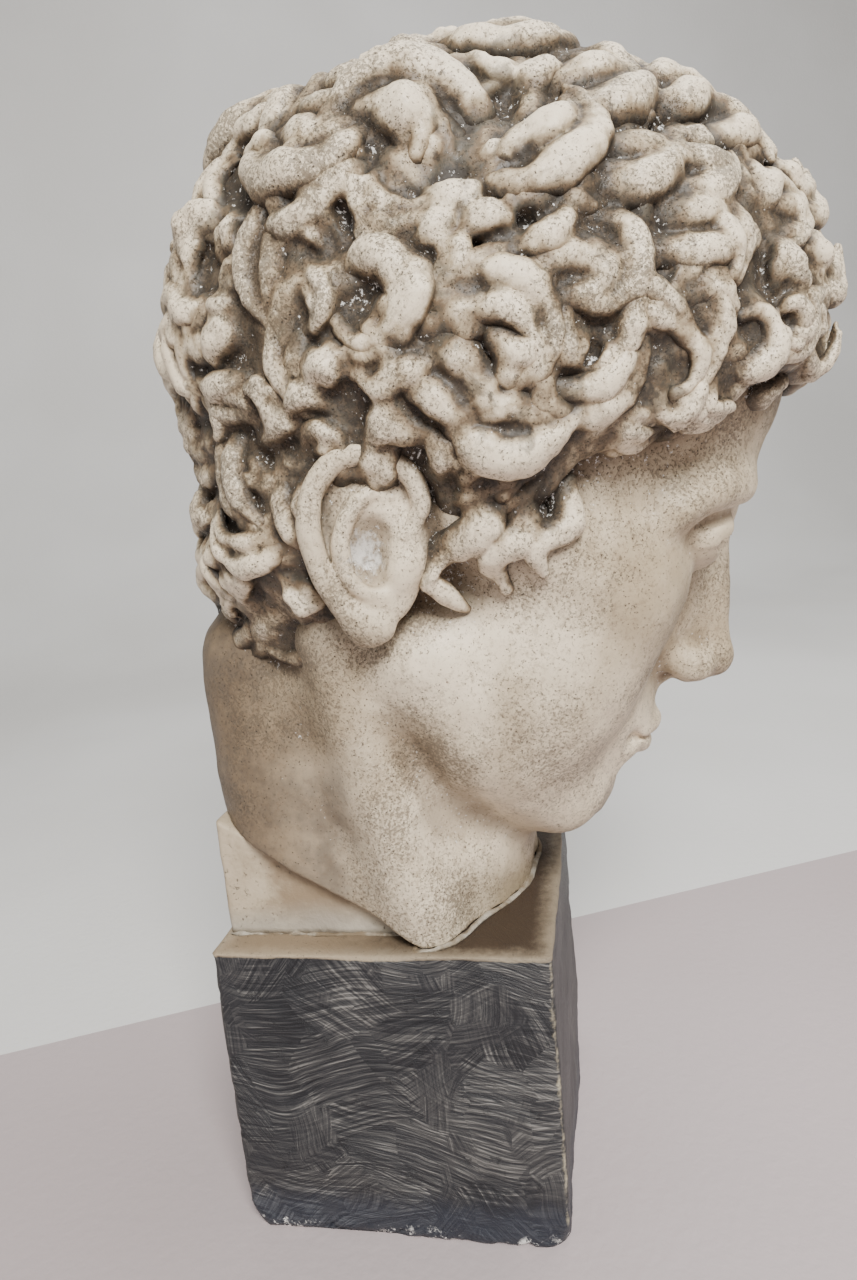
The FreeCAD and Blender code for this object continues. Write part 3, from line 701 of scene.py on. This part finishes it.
def fire(name, clay, near, far, rough, most=190000):
    # the clay's skin as a mesh, worn a little, with its shelter kept for the patina and the painted
    # shade in its hollows
    limit = 3 * clay.step
    grid = openvdb.FloatGrid(limit)
    field = np.pad(np.clip(clay.field, -limit, limit), 1, constant_values=limit)
    grid.copyFromArray(np.ascontiguousarray(field, np.float32))
    points, quads = grid.convertToQuads(0.0)
    points, quads = largeParts(points, quads.astype(np.int64))
    points = (points - 1) * clay.step + np.array([axis[0] for axis in clay.axes])
    mesh = bpy.data.meshes.new(name)
    mesh.from_pydata(points.tolist(), [], quads.tolist())
    mesh.update()
    thing = newObject(name, mesh)
    if len(quads) * 2 > most:
        fewer = thing.modifiers.new("fewer", "DECIMATE")
        fewer.ratio = most / (len(quads) * 2)
        mesh = evaluated(thing)
        thing.modifiers.clear()
        thing.data = mesh
    points, normals = getPoints(mesh), getNormals(mesh)
    for size, depth, seed in rough:
        points = points + normals * (waver(points, size, seed) * depth)[:, None]
    crease = near.sample(points + normals * 1.0)
    valley = far.sample(points + normals * 2.0)
    for label, values in (("crease", crease), ("valley", valley)):
        layer = mesh.attributes.new(label, "FLOAT", "POINT")
        layer.data.foreach_set("value", values.astype(np.float32))
    setPoints(mesh, points)
    mesh.transform(toRow)
    mesh.shade_smooth()
    print(name, len(mesh.vertices), "points", len(mesh.polygons), "faces")
    return thing


headRough = {
    "head_skin": ((34, 0.35, 1), (11, 0.16, 2)),
    "hair": ((19, 0.8, 3), (9, 0.22, 4)),
    "hair_bed": ((15, 0.8, 5), (8, 0.3, 6)),
}

print("modelling the head")
skin = makeSkin()
print("modelling the hair")
clays = makeHair(skin)
near, far = shelter({"head_skin": skin, **clays})
headPieces = [fire("head_skin", skin, near, far, headRough["head_skin"])]
for name, clay in clays.items():
    rough = headRough.get(name, headRough["hair"])
    headPieces.append(fire(name, clay, near, far, rough))
for piece in headPieces:
    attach(piece, "root")
    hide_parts("head_cast")

class Wire:  # a value on its way through a material's nodes
    def __init__(self, finish, socket):
        self.finish, self.socket = finish, socket

    def math(self, operation, *others):
        sockets = dict(enumerate((self, *others)))
        return self.finish.node("ShaderNodeMath", {"operation": operation}, sockets)

    def __add__(self, other):
        return self.math("ADD", other)

    __radd__ = __add__

    def __sub__(self, other):
        return self.math("SUBTRACT", other)

    def __rsub__(self, other):
        return (self * -1.0).math("ADD", other)

    def __mul__(self, other):
        return self.math("MULTIPLY", other)


class Finish:
    def __init__(self, name):
        self.material = bpy.data.materials.new(name)
        self.material.use_nodes = True
        self.tree = self.material.node_tree
        self.shader = self.tree.nodes["Principled BSDF"]
        self.place = self.node("ShaderNodeTexCoord", out="Object")

    def node(self, kind, settings=None, sockets=None, out=0):
        made = self.tree.nodes.new(kind)
        for name, value in (settings or {}).items():
            if name == "stops":
                ramp = made.color_ramp.elements
                while len(ramp) < len(value):
                    ramp.new(0.5)
                for stop, (spot, colour) in zip(ramp, value):
                    stop.position, stop.color = spot, (*colour, 1)
            else:
                setattr(made, name, value)
        self.feed(made, sockets or {})
        return Wire(self, made.outputs[out])

    def feed(self, node, sockets):
        for name, value in sockets.items():
            if isinstance(value, Wire):
                self.tree.links.new(value.socket, node.inputs[name])
            else:
                node.inputs[name].default_value = value

    def noise(self, scale, detail=3.0, rough=0.55, at=None, bend=0.0):
        return self.node("ShaderNodeTexNoise", None, {
            "Vector": at or self.place, "Scale": scale, "Detail": detail, "Roughness": rough,
            "Distortion": bend})

    def flatNoise(self, at, scale, detail, rough=0.5, out=0):
        return self.node("ShaderNodeTexNoise", {"noise_dimensions": "2D"}, {
            "Vector": at, "Scale": scale, "Detail": detail, "Roughness": rough}, out)

    def cells(self, scale):
        return self.node("ShaderNodeTexVoronoi", None,
                         {"Vector": self.place, "Scale": scale}, "Distance")

    def vector(self, operation, *sockets, out=0):
        return self.node("ShaderNodeVectorMath", {"operation": operation},
                         dict(enumerate(sockets)), out)

    def span(self, value, low, high):  # 0 at low, 1 at high, smooth between
        return self.node("ShaderNodeMapRange", {"interpolation_type": "SMOOTHSTEP"},
                         {"Value": value, "From Min": low, "From Max": high})

    def attribute(self, name):
        return self.node("ShaderNodeAttribute", {"attribute_name": name}, out="Fac")

    def mix(self, share, a, b):
        a, b = ((*c, 1) if isinstance(c, tuple) and len(c) == 3 else c for c in (a, b))
        return self.node("ShaderNodeMix", {"data_type": "RGBA"}, {0: share, 6: a, 7: b}, 2)

    def coats(self, colour, *layers):  # one over another, each a share and a colour
        for share, layer in layers:
            colour = self.mix(share, colour, layer)
        return colour

    def ramp(self, value, *stops):
        return self.node("ShaderNodeValToRGB", {"stops": stops}, {0: value})

    def bump(self, height, depth):
        return self.node("ShaderNodeBump", None,
                         {"Height": height, "Distance": depth, "Strength": 1.0})

    def along(self, axis):  # how far along x, y or z a place is, in metres
        return self.node("ShaderNodeSeparateXYZ", None, {0: self.place}, axis)

    def done(self, colour, rough, normal, metallic=0.0):
        self.feed(self.shader, {"Base Color": colour, "Roughness": rough, "Normal": normal,
                                "Metallic": metallic})
        return self.material


plaster = {
    "light": (0.80, 0.685, 0.51), "mid": (0.41, 0.325, 0.21), "warm": (0.155, 0.105, 0.06),
    "greyGreen": (0.080, 0.068, 0.048), "dirtAndShade": (0.026, 0.019, 0.012),
    "white": (0.80, 0.79, 0.755), "speck": (0.10, 0.08, 0.055),
    "wash": (0.070, 0.046, 0.028),
}


def hairTones(f, valley, patch, grain):
    # darker the more sheltered a place is: patina in the hollows, and painted shade there too
    mottle = f.noise(120, 5, 0.65, bend=0.5)
    hollow = valley + (patch - 0.5) * 0.26 + (mottle - 0.5) * 0.24 + (grain - 0.5) * 0.14
    colour = f.ramp(hollow, (0.30, plaster["light"]), (0.37, plaster["mid"]),
                    (0.43, plaster["warm"]), (0.49, plaster["greyGreen"]), (0.58, plaster["dirtAndShade"]))
    stain = f.noise(85, 7, 0.68, bend=0.4)
    dark = f.span(stain + (valley - 0.36) * 0.5, 0.52, 0.64)
    fleck = f.span(f.noise(230, 6, 0.7) + (valley - 0.38) * 0.5, 0.58, 0.64)
    return hollow, f.coats(colour, (dark * 0.6, plaster["greyGreen"]),
                           (fleck * 0.65, plaster["dirtAndShade"]))


def skinTones(f, valley, patch, grain):
    cloud = f.noise(11, 4)
    hollow = valley + (patch - 0.5) * 0.12 + (grain - 0.5) * 0.05
    colour = f.mix(f.span(cloud + patch * 0.35, 0.5, 0.85), plaster["mid"], plaster["light"])
    # warm brown where the skin is sheltered: patina in the hollows, and painted shade there too
    warm = f.span(f.noise(15, 3) + (valley - 0.42) * 1.6, 0.50, 0.70)
    # the wash lies thickest down the back of the neck, with painted shade there too, on the side the
    # key light leaves dark
    back = f.span(f.along(1) + (cloud - 0.5) * 0.12 + (patch - 0.5) * 0.05, -0.020, 0.045)
    back = back * (1 - f.span(f.along(2) + (patch - 0.5) * 0.04, 0.27, 0.33))
    napeWashAndShade = f.mix(f.span(patch + (grain - 0.5) * 0.6, 0.30, 0.66), plaster["warm"],
                   plaster["wash"])
    return hollow, f.coats(colour, (warm * 0.45, plaster["warm"]),
                           (f.span(hollow, 0.50, 0.66) * 0.8, plaster["warm"]), (back * 0.9, napeWashAndShade))


# the head's patinated plaster, with painted shade laid into its sheltered places
def patinaAndShade(name, hair):
    f = Finish(name)
    valley, crease = f.attribute("valley"), f.attribute("crease")
    patch, grain = f.noise(46, 5, 0.6), f.noise(260, 4, 0.6)
    hollow, colour = (hairTones if hair else skinTones)(f, valley, patch, grain)
    # near-black lines along the tightest creases: dark wax, and painted shade there too
    if hair:
        line = f.span(crease + (grain - 0.5) * 0.24, 0.43, 0.56)
    else:
        line = f.span(crease + (grain - 0.5) * 0.14, 0.58, 0.72)
    # pinholes and specks of dark wax, thicker in some places than in others
    crowd = f.noise(26, 4, 0.6)
    specks = f.span(f.noise(850, 4, 0.75) + crowd * 0.5, 0.80, 0.88)
    dust = f.span(f.noise(380, 6, 0.8) + crowd * 0.4, 0.66, 0.80)
    holes = 1 - f.span(f.cells(460) + crowd * -0.16, 0.03, 0.07)
    chips = f.span(f.noise(480, 5, 0.75) + valley * 0.45, 0.86, 0.89)
    if not hair:  # the white plaster shows in the bowl of the ear
        bowl = f.vector("DISTANCE", f.place, toRow @ Vector(earBowl), out="Value")
        bare = 1 - f.span(bowl + (grain - 0.5) * 0.02, 0.003, 0.0085)
        chips = chips.math("MAXIMUM", bare * 0.75)
    colour = f.coats(colour, (line * 0.88, plaster["dirtAndShade"]), (specks * 0.6, plaster["speck"]),
                     (dust * 0.35, plaster["warm"]), (holes * 0.7, plaster["dirtAndShade"]),
                     (chips * 0.9, plaster["white"]))
    height = f.noise(150, 5, 0.6) * 0.5 + grain * 0.25 - specks * 0.2 - holes * 0.8
    rough = 0.42 + f.noise(70, 3) * 0.25 + f.span(hollow, 0.45, 0.62) * 0.15
    return f.done(colour, rough, f.bump(height, 0.0011 if hair else 0.0007))


blockPlaster = {
    "light": (0.50, 0.415, 0.295), "mid": (0.27, 0.20, 0.125), "filled": (0.47, 0.455, 0.41),
    "deck": (0.040, 0.024, 0.013),
}


def castPlaster(name):
    # plain cast plaster with a brown wash, paler low down where it was filled
    f = Finish(name)
    cloud, grain = f.noise(28, 5, 0.6), f.noise(300, 5, 0.65)
    colour = f.mix(f.span(cloud + grain * 0.2, 0.45, 0.78), blockPlaster["mid"],
                   blockPlaster["light"])
    low = 1 - f.span(f.along(2) + cloud * 0.012, deckTop + 0.008, deckTop + 0.022)
    specks = f.span(f.noise(560, 4, 0.7) + f.noise(30, 2) * 0.3, 0.80, 0.86)
    colour = f.coats(colour, (low * 0.5, blockPlaster["filled"]), (specks * 0.7, plaster["speck"]))
    normal = f.bump(grain * 0.5 + f.noise(90, 4) * 0.8 - specks * 0.3, 0.0009)
    return f.done(colour, 0.55 + grain * 0.15, normal)


paint = {
    "stops": ((0.26, (0.003, 0.004, 0.006)), (0.44, (0.014, 0.015, 0.018)),
              (0.60, (0.056, 0.055, 0.054)), (0.82, (0.22, 0.21, 0.195))),
    "navy": (0.012, 0.016, 0.027), "scuffed": (0.05, 0.058, 0.075), "wear": (0.50, 0.44, 0.31),
    "blot": (0.006, 0.007, 0.009), "front": (0.012, 0.012, 0.012),
    "bristles": 820, "contrast": 1.95,
    # layers of sweeps: their size, place, heading and how far the headings spread
    "sweeps": ((26, 0.0, 0.1, 1.5), (34, 0.37, -0.2, 2.0), (52, 0.71, 0.9, 3.0)),
}


def brushStrokes(f):
    flat = f.node("ShaderNodeUVMap", {"uv_map": "sides"})
    bent = f.vector("MULTIPLY_ADD", f.flatNoise(flat, 16, 1, out="Color"), (0.022, 0.022, 0), flat)
    strokes = []
    for scale, shift, turn, spread in paint["sweeps"]:
        moved = f.vector("ADD", bent, (shift, shift, 0))
        cell = f.node("ShaderNodeTexVoronoi", {"voronoi_dimensions": "2D"},
                      {"Vector": moved, "Scale": scale}, "Color")
        angle = (f.node("ShaderNodeSeparateColor", None, {0: cell}) - 0.5) * spread + turn
        turned = f.node("ShaderNodeVectorRotate", {"rotation_type": "Z_AXIS"},
                        {"Vector": moved, "Angle": angle})
        streak = f.flatNoise(f.vector("MULTIPLY", turned, (20, paint["bristles"], 1)), 1, 4, 0.7)
        tone = f.node("ShaderNodeSeparateColor", None, {0: cell}, 1)
        strokes.append(streak + tone * 0.10 - 0.05)
    over = f.span(f.flatNoise(bent, 30, 3), 0.50, 0.60)
    streak = (strokes[0] * 0.5 + strokes[1] * 0.5 - 0.5) * paint["contrast"] + 0.5
    return streak * (1 - over * 0.7) + strokes[2] * over * 0.7


def brushedPaint(name):
    f = Finish(name)
    low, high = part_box("plinth")
    streak, spot = brushStrokes(f), f.noise(170, 6, 0.72)
    x, y, z = (f.along(axis) for axis in range(3))
    gapX, gapY = high[0] - x.math("ABSOLUTE"), high[1] - y.math("ABSOLUTE")
    corner = gapX.math("MAXIMUM", gapY)
    blots = f.span(f.noise(110, 6, 0.75), 0.58, 0.68)
    # the -y face is painted darker: painted shade, as that side takes less light
    front = 1 - f.span(y + spot * 0.001, low[1] + 0.0005, low[1] + 0.002)
    foot = 1 - f.span(z + spot * 0.016, 0.020, 0.034)
    footTone = f.mix(f.span(streak, 0.4, 0.8), paint["navy"], paint["scuffed"])
    worn = 1 - f.span(corner + spot * 0.008, 0.0036, 0.0060)
    worn = worn * (1 - f.span(y + f.noise(40, 2) * 0.05, -0.02, 0.05) * 0.9)
    chips = (1 - f.span(z + spot * 0.02, 0.0125, 0.0165)) * f.span(f.noise(230, 5, 0.8), 0.55, 0.58)
    chips = chips * f.span(f.noise(34, 2), 0.44, 0.56)
    nicks = f.span(f.noise(210, 6, 0.8) - corner * 9.0, 0.655, 0.675)
    colour = f.coats(f.ramp(streak + f.noise(20, 3) * 0.34 - 0.17, *paint["stops"]),
                     (blots * 0.75, paint["blot"]), (front * 0.45, paint["front"]),
                     (foot * 0.8, footTone), (worn * 0.8, paint["wear"]),
                     (chips, plaster["white"]), (nicks, plaster["white"]))
    # bare washed plaster on the deck, lighter at its edge
    bare = f.span(z + spot * 0.0016, deckTop - 0.0010, deckTop - 0.0001)
    edge = 1 - f.span(gapX.math("MINIMUM", gapY) + spot * 0.012, 0.004, 0.016)
    pale = f.span(y + (spot - 0.5) * 0.05, -0.035, 0.035)
    dust = f.span(f.noise(500, 4, 0.7), 0.62, 0.68)
    wash = f.coats(blockPlaster["deck"], (pale * 0.8, blockPlaster["mid"]),
                   (edge * 0.5, blockPlaster["light"]), (dust * 0.6, plaster["dirtAndShade"]))
    normal = f.bump(streak * 0.5 + spot * 0.3 + blots * 0.2, 0.0008)
    return f.done(f.mix(bare, colour, wash), 0.34 + streak * 0.30 + bare * 0.2, normal)


def beadPlaster(name):
    f = Finish(name)
    cloud = f.noise(60, 5, 0.65)
    colour = f.mix(f.span(cloud, 0.42, 0.66), (0.17, 0.125, 0.075), (0.42, 0.385, 0.32))
    return f.done(colour, 0.75, f.bump(f.noise(420, 5, 0.7), 0.0007))


def timber(name):
    f = Finish(name)
    long = f.vector("MULTIPLY", f.place, (6, 90, 60))
    grain = f.noise(1.6, 6, 0.6, at=long, bend=0.8)
    colour = f.ramp(grain, (0.3, (0.50, 0.35, 0.20)), (0.52, (0.42, 0.27, 0.14)),
                    (0.7, (0.26, 0.15, 0.07)))
    return f.done(colour, 0.7, f.bump(grain, 0.0006))


def plated(name):
    f = Finish(name)
    cloud = f.noise(130, 5, 0.6)
    colour = f.mix(cloud, (0.50, 0.51, 0.53), (0.70, 0.69, 0.64))
    return f.done(colour, 0.28 + cloud * 0.25, f.bump(f.noise(900, 3), 0.0001), 1.0)


plinthShape = {
    "wall": 0.0165, "deck": 0.0245, "round": 0.0028, "foot": 0.0055, "top": 0.0011,
    "cut": 0.0026, "wave": 0.0007, "dent": 0.00022, "ragged": 0.0022, "raggedHigh": 0.013,
    "raggedEdge": 0.005, "worn": 0.012, "wornHigh": 0.02,
}


def boxOf(node):  # a plain box over the node, with its lowest and highest corner
    low, high = (Vector(c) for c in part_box(node))
    shape = bmesh.new()
    bmesh.ops.create_cube(shape, size=1)
    bmesh.ops.scale(shape, vec=high - low, verts=shape.verts)
    bmesh.ops.translate(shape, vec=(high + low) / 2, verts=shape.verts)
    return low, high, shape


def roundEdges(shape, edges, offset, segments):
    bmesh.ops.bevel(shape, geom=edges, offset=offset, segments=segments, profile=0.5,
                    affect="EDGES", material=-1)


def fromBmesh(name, shape):
    bmesh.ops.recalc_face_normals(shape, faces=shape.faces)
    mesh = bpy.data.meshes.new(name)
    shape.to_mesh(mesh)
    shape.free()
    mesh.shade_smooth()
    return newObject(name, mesh)


def cutEvenly(shape, size):  # slices a mesh into squares of about that size
    for axis in range(3):
        low = min(v.co[axis] for v in shape.verts)
        high = max(v.co[axis] for v in shape.verts)
        count = max(1, round((high - low) / size))
        normal = Vector([float(a == axis) for a in range(3)])
        for i in range(1, count):
            geometry = shape.verts[:] + shape.edges[:] + shape.faces[:]
            bmesh.ops.bisect_plane(shape, geom=geometry, dist=1e-6, plane_no=normal,
                                   plane_co=normal * (low + (high - low) * i / count))


def boxUv(mesh, name):  # every face laid flat along its own two directions, in metres
    layer = mesh.uv_layers.new(name=name)
    for face in mesh.polygons:
        axis = max(range(3), key=lambda a: abs(face.normal[a]))
        flat = [a for a in range(3) if a != axis]
        away = 0.31 * axis + (0.17 if face.normal[axis] > 0 else 0)
        for loop in face.loop_indices:
            co = mesh.vertices[mesh.loops[loop].vertex_index].co
            layer.data[loop].uv = (co[flat[0]] + away, co[flat[1]] + away)


def makePlinth():
    p = plinthShape
    low, high, shape = boxOf("plinth")
    foot = [f for f in shape.faces if f.normal.z < -0.9]
    bmesh.ops.inset_region(shape, faces=foot, thickness=p["wall"])
    up = bmesh.ops.extrude_face_region(shape, geom=foot)
    bmesh.ops.delete(shape, geom=foot, context="FACES")
    inner = [v for v in up["geom"] if isinstance(v, bmesh.types.BMVert)]
    bmesh.ops.translate(shape, vec=(0, 0, high.z - p["deck"]), verts=inner)
    shape.normal_update()

    def outer(v):
        return min(high.x - abs(v.co.x), high.y - abs(v.co.y)) < 1e-4

    for test, offset, segments in (
        (lambda a, b: abs(a.co.z - b.co.z) > 0.05, p["round"], 3),
        (lambda a, b: max(a.co.z, b.co.z) < 1e-4, p["foot"], 4),
        (lambda a, b: min(a.co.z, b.co.z) > high.z - 1e-4, p["top"], 2),
    ):
        roundEdges(shape, [e for e in shape.edges
                           if test(*e.verts) and all(outer(v) for v in e.verts)
                           and len(e.link_faces) == 2 and e.calc_face_angle(0) > 0.6],
                   offset, segments)
    cutEvenly(shape, p["cut"])
    thing = fromBmesh("plinth_cast", shape)
    points, normals = getPoints(thing.data), getNormals(thing.data)
    x, y, z = np.abs(points).T
    dents = waver(points * 1000, 55, 21) * p["wave"] + waver(points * 1000, 13, 22) * p["dent"]
    nearFoot = np.clip(1 - z / p["raggedHigh"], 0, 1)
    nearEdge = np.clip(1 - np.maximum(high.x - x, high.y - y) / p["raggedEdge"], 0, 1)
    chip = np.clip(waver(points * 1000, 7, 23) - 0.35, 0, 1)
    dents = dents - chip * p["ragged"] * np.maximum(nearFoot, nearEdge * 0.55)
    inside = (x < high.x - 0.012) & (y < high.y - 0.012)
    dents = np.where(inside & (z < high.z - 0.001), 0, dents)
    dents = np.where(z > high.z - 0.0005, np.minimum(dents, 0) * 0.3, dents)
    # the underside's edge stays level with the floor
    share = np.where(np.abs(normals[:, 2]) < 0.98, 1, np.clip(z / 0.004, 0, 1))
    points = points + normals * (dents * share)[:, None]
    points[:, 2] = np.maximum(points[:, 2], 0)
    # the foot's corners are worn round
    footness = np.clip(1 - points[:, 2] / p["wornHigh"], 0, 1) ** 2
    radius = p["round"] + p["worn"] * footness
    past = np.abs(points[:, :2]) - np.array(high.xy) + radius[:, None]
    reach = np.hypot(*np.maximum(past, 0).T)
    back = np.where((past > 0).all(1) & (reach > radius), radius / np.maximum(reach, 1e-6), 1)
    points[:, :2] -= np.sign(points[:, :2]) * np.maximum(past, 0) * (1 - back)[:, None]
    setPoints(thing.data, points)
    boxUv(thing.data, "sides")
    thing.data.materials.append(brushedPaint("brushed_charcoal_paint"))
    return thing


blockShape = {"toe": 0.0012, "round": 0.0016, "cut": 0.003, "wave": 0.0005, "dent": 0.00015}


def makeBlock():
    low, high, shape = boxOf("neck_block")
    for v in shape.verts:
        if v.co.z > high.z - 1e-5 and v.co.y < low.y + 1e-5:
            v.co.z = low.z + blockShape["toe"]
    edges = [e for e in shape.edges if min(v.co.y for v in e.verts) > high.y - 1e-5
             or (max(v.co.z for v in e.verts) > low.z + 0.01
                 and abs(e.verts[0].co.x - e.verts[1].co.x) < 1e-5)]
    roundEdges(shape, edges, blockShape["round"], 3)
    cutEvenly(shape, blockShape["cut"])
    thing = fromBmesh("neck_wedge", shape)
    points, normals = getPoints(thing.data), getNormals(thing.data)
    dents = (waver(points * 1000, 30, 31) * blockShape["wave"]
             + waver(points * 1000, 9, 32) * blockShape["dent"])
    points[:, :2] += (normals * dents[:, None])[:, :2]
    setPoints(thing.data, points)
    thing.data.materials.append(castPlaster("block_plaster"))
    return thing


beadShape = {
    "thick": 0.0015, "stand": -0.0005, "uneven": 0.0006, "middle": (0, 0.012), "front": -0.016,
    "spokes": 26, "first": -8, "sweep": 164, "step": 0.004,
}


def makeBead(head):
    # follows the foot of the neck and the block: the far outline round them
    b = beadShape
    low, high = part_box("neck_block")
    foot = getPoints(head.data)
    foot = foot[(foot[:, 2] > deckTop) & (foot[:, 2] < deckTop + 0.004) & (foot[:, 1] < -0.012)]
    line = [Vector(c) for c in ((low[0], b["front"]), (low[0], high[1]), (high[0], high[1]),
                                (high[0], b["front"]))]
    middle = Vector(b["middle"])
    for i in range(b["spokes"] + 1):
        angle = math.radians(b["first"] - b["sweep"] * i / b["spokes"])
        way = Vector((math.cos(angle), math.sin(angle)))
        reach = (foot[:, :2] - np.array(middle)) @ np.array(way)
        near = np.abs((foot[:, :2] - np.array(middle)) @ np.array((-way.y, way.x))) < 0.004
        if near.any():
            line.append(middle + way * float(reach[near].max()))
    curve = bpy.data.curves.new("bead", "CURVE")
    curve.dimensions = "3D"
    curve.bevel_depth = b["thick"]
    curve.bevel_resolution = 3
    spline = curve.splines.new("POLY")
    path = []
    for start, end in zip(line, line[1:] + line[:1]):
        steps = max(1, int((end - start).length / b["step"]))
        path += [start + (end - start) * i / steps for i in range(steps)]
    spline.points.add(len(path) - 1)
    rng = random.Random(8)
    for point, place in zip(spline.points, path):
        point.co = (*place, deckTop + b["stand"], 1)
        point.radius = rng.uniform(0.75, 1.25)
    spline.use_cyclic_u = True
    rope = newObject("bead_curve", curve)
    mesh = evaluated(rope)
    bpy.data.objects.remove(rope)
    thing = newObject("plaster_fillet", mesh)
    points = getPoints(mesh)
    points += getNormals(mesh) * (waver(points * 1000, 6, 41) * b["uneven"])[:, None]
    points[:, 2] = np.maximum(points[:, 2], deckTop - 0.0002)
    setPoints(mesh, points)
    mesh.shade_smooth()
    mesh.materials.append(beadPlaster("bead_plaster"))
    return thing


print("modelling the plinth, block and bead")
skinFinish = patinaAndShade("waxed_and_shaded_plaster", False)
hairFinish = patinaAndShade("stained_and_shaded_plaster_hair", True)
for piece in headPieces:
    piece.data.materials.append(skinFinish if piece.name == "head_skin" else hairFinish)
for maker, node, slot in ((makePlinth, "plinth", "plinth_paint"),
                          (makeBlock, "neck_block", "block_plaster"),
                          (lambda: makeBead(headPieces[0]), "plaster_bead", "bead_plaster")):
    piece = maker()
    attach(piece, "root")
    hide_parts(node)
for nodes, finish in (
    (("locating_pins", "rod_anchor", "deck_pad"), timber("sawn_timber")),
    (("head_rod", "anchor_washer", "anchor_nut", "deck_plate_washer", "deck_nut",
      "deck_lock_nut"), plated("zinc_plate")),
):
    for node in nodes:
        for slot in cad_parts[node].material_slots:
            slot.material = finish

stageShape = {
    "line": ((0.030, 0.271), (0.296, -0.276)), "flat": 1.0, "curve": 0.7, "high": 9, "wide": 20,
    "camera": (-0.3867, -0.0963, 0.3253), "lens": 25.3125,
    "ahead": (0.96054, 0.19183, -0.20138), "level": (0.17599, -0.97989, -0.09399),
}


def makeCamera():
    camera = bpy.data.cameras.new("camera")
    camera.lens = stageShape["lens"]
    camera.sensor_width = 36
    camera.clip_start = 0.02
    thing = newObject("camera", camera)
    ahead, level = Vector(stageShape["ahead"]).normalized(), Vector(stageShape["level"])
    level = (level - ahead * level.dot(ahead)).normalized()
    turn = Matrix((level, level.cross(ahead), -ahead)).transposed()
    thing.matrix_world = Matrix.Translation(stageShape["camera"]) @ turn.to_4x4()
    bpy.context.scene.camera = thing


def addLight(name, place, aim, size, power, colour):
    light = bpy.data.lights.new(name, "AREA")
    light.shape = "RECTANGLE"
    light.size, light.size_y = size
    light.energy = power
    light.color = colour
    thing = newObject(name, light)
    turn = (Vector(aim) - Vector(place)).to_track_quat("-Z", "Y")
    thing.matrix_world = Matrix.Translation(place) @ turn.to_matrix().to_4x4()


def plainFinish(name, light, dark):
    f = Finish(name)
    cloud = f.noise(1.6, 3)
    return f.done(f.mix(f.span(cloud, 0.35, 0.7), dark, light), 0.55,
                  f.bump(f.noise(160, 2), 0.0004))


def makeStage():
    start, end = (Vector(c) for c in stageShape["line"])
    along = (end - start).normalized()
    beyond = Vector((-along.y, along.x))
    middle, wide = (start + end) / 2, stageShape["wide"]
    flat, curve = stageShape["flat"], stageShape["curve"]
    # a floor up to the line, and a paler sweep from there up to the wall
    floor = [(-wide, 0.0), (0.0, 0.0)]
    sweep = [(-0.02, -0.0004), (flat, -0.0004)]
    for degrees in np.linspace(0, 90, 17)[1:]:
        angle = math.radians(degrees)
        sweep.append((flat + curve * math.sin(angle), curve * (1 - math.cos(angle))))
    sweep.append((flat + curve, stageShape["high"]))
    for name, profile, finish in (
        ("floor", floor, plainFinish("pale_floor", (0.50, 0.43, 0.435), (0.43, 0.365, 0.365))),
        ("sweep", sweep, plainFinish("backdrop", (0.74, 0.735, 0.72), (0.66, 0.65, 0.63))),
    ):
        shape = bmesh.new()
        rows = [[shape.verts.new((*(middle + beyond * out + along * side), up))
                 for side in (-wide, wide)] for out, up in profile]
        for (a, b), (c, d) in zip(rows, rows[1:]):
            shape.faces.new((a, c, d, b))
        for face in shape.faces:
            face.smooth = True
        mesh = bpy.data.meshes.new(name)
        shape.to_mesh(mesh)
        shape.free()
        thing = newObject(name, mesh)
        mesh.materials.append(finish)
    world = bpy.data.worlds.new("studio")
    bpy.context.scene.world = world
    world.use_nodes = True
    background = world.node_tree.nodes["Background"].inputs
    background["Color"].default_value = (0.93, 0.92, 0.90, 1)
    background["Strength"].default_value = 0.36
    addLight("key", (-1.2, -0.5, 1.4), (0, -0.05, 0.3), (0.6, 0.6), 58, (1, 0.985, 0.955))
    addLight("fill", (-1.1, 0.8, 0.9), (0, 0, 0.28), (1.2, 1.0), 1.5, (0.98, 0.98, 1))
    addLight("back", (0.6, -0.5, 1.7), (0.9, -0.3, 0.2), (1.2, 1.2), 16, (0.98, 0.99, 1))


print("setting the stage")
makeCamera()
makeStage()
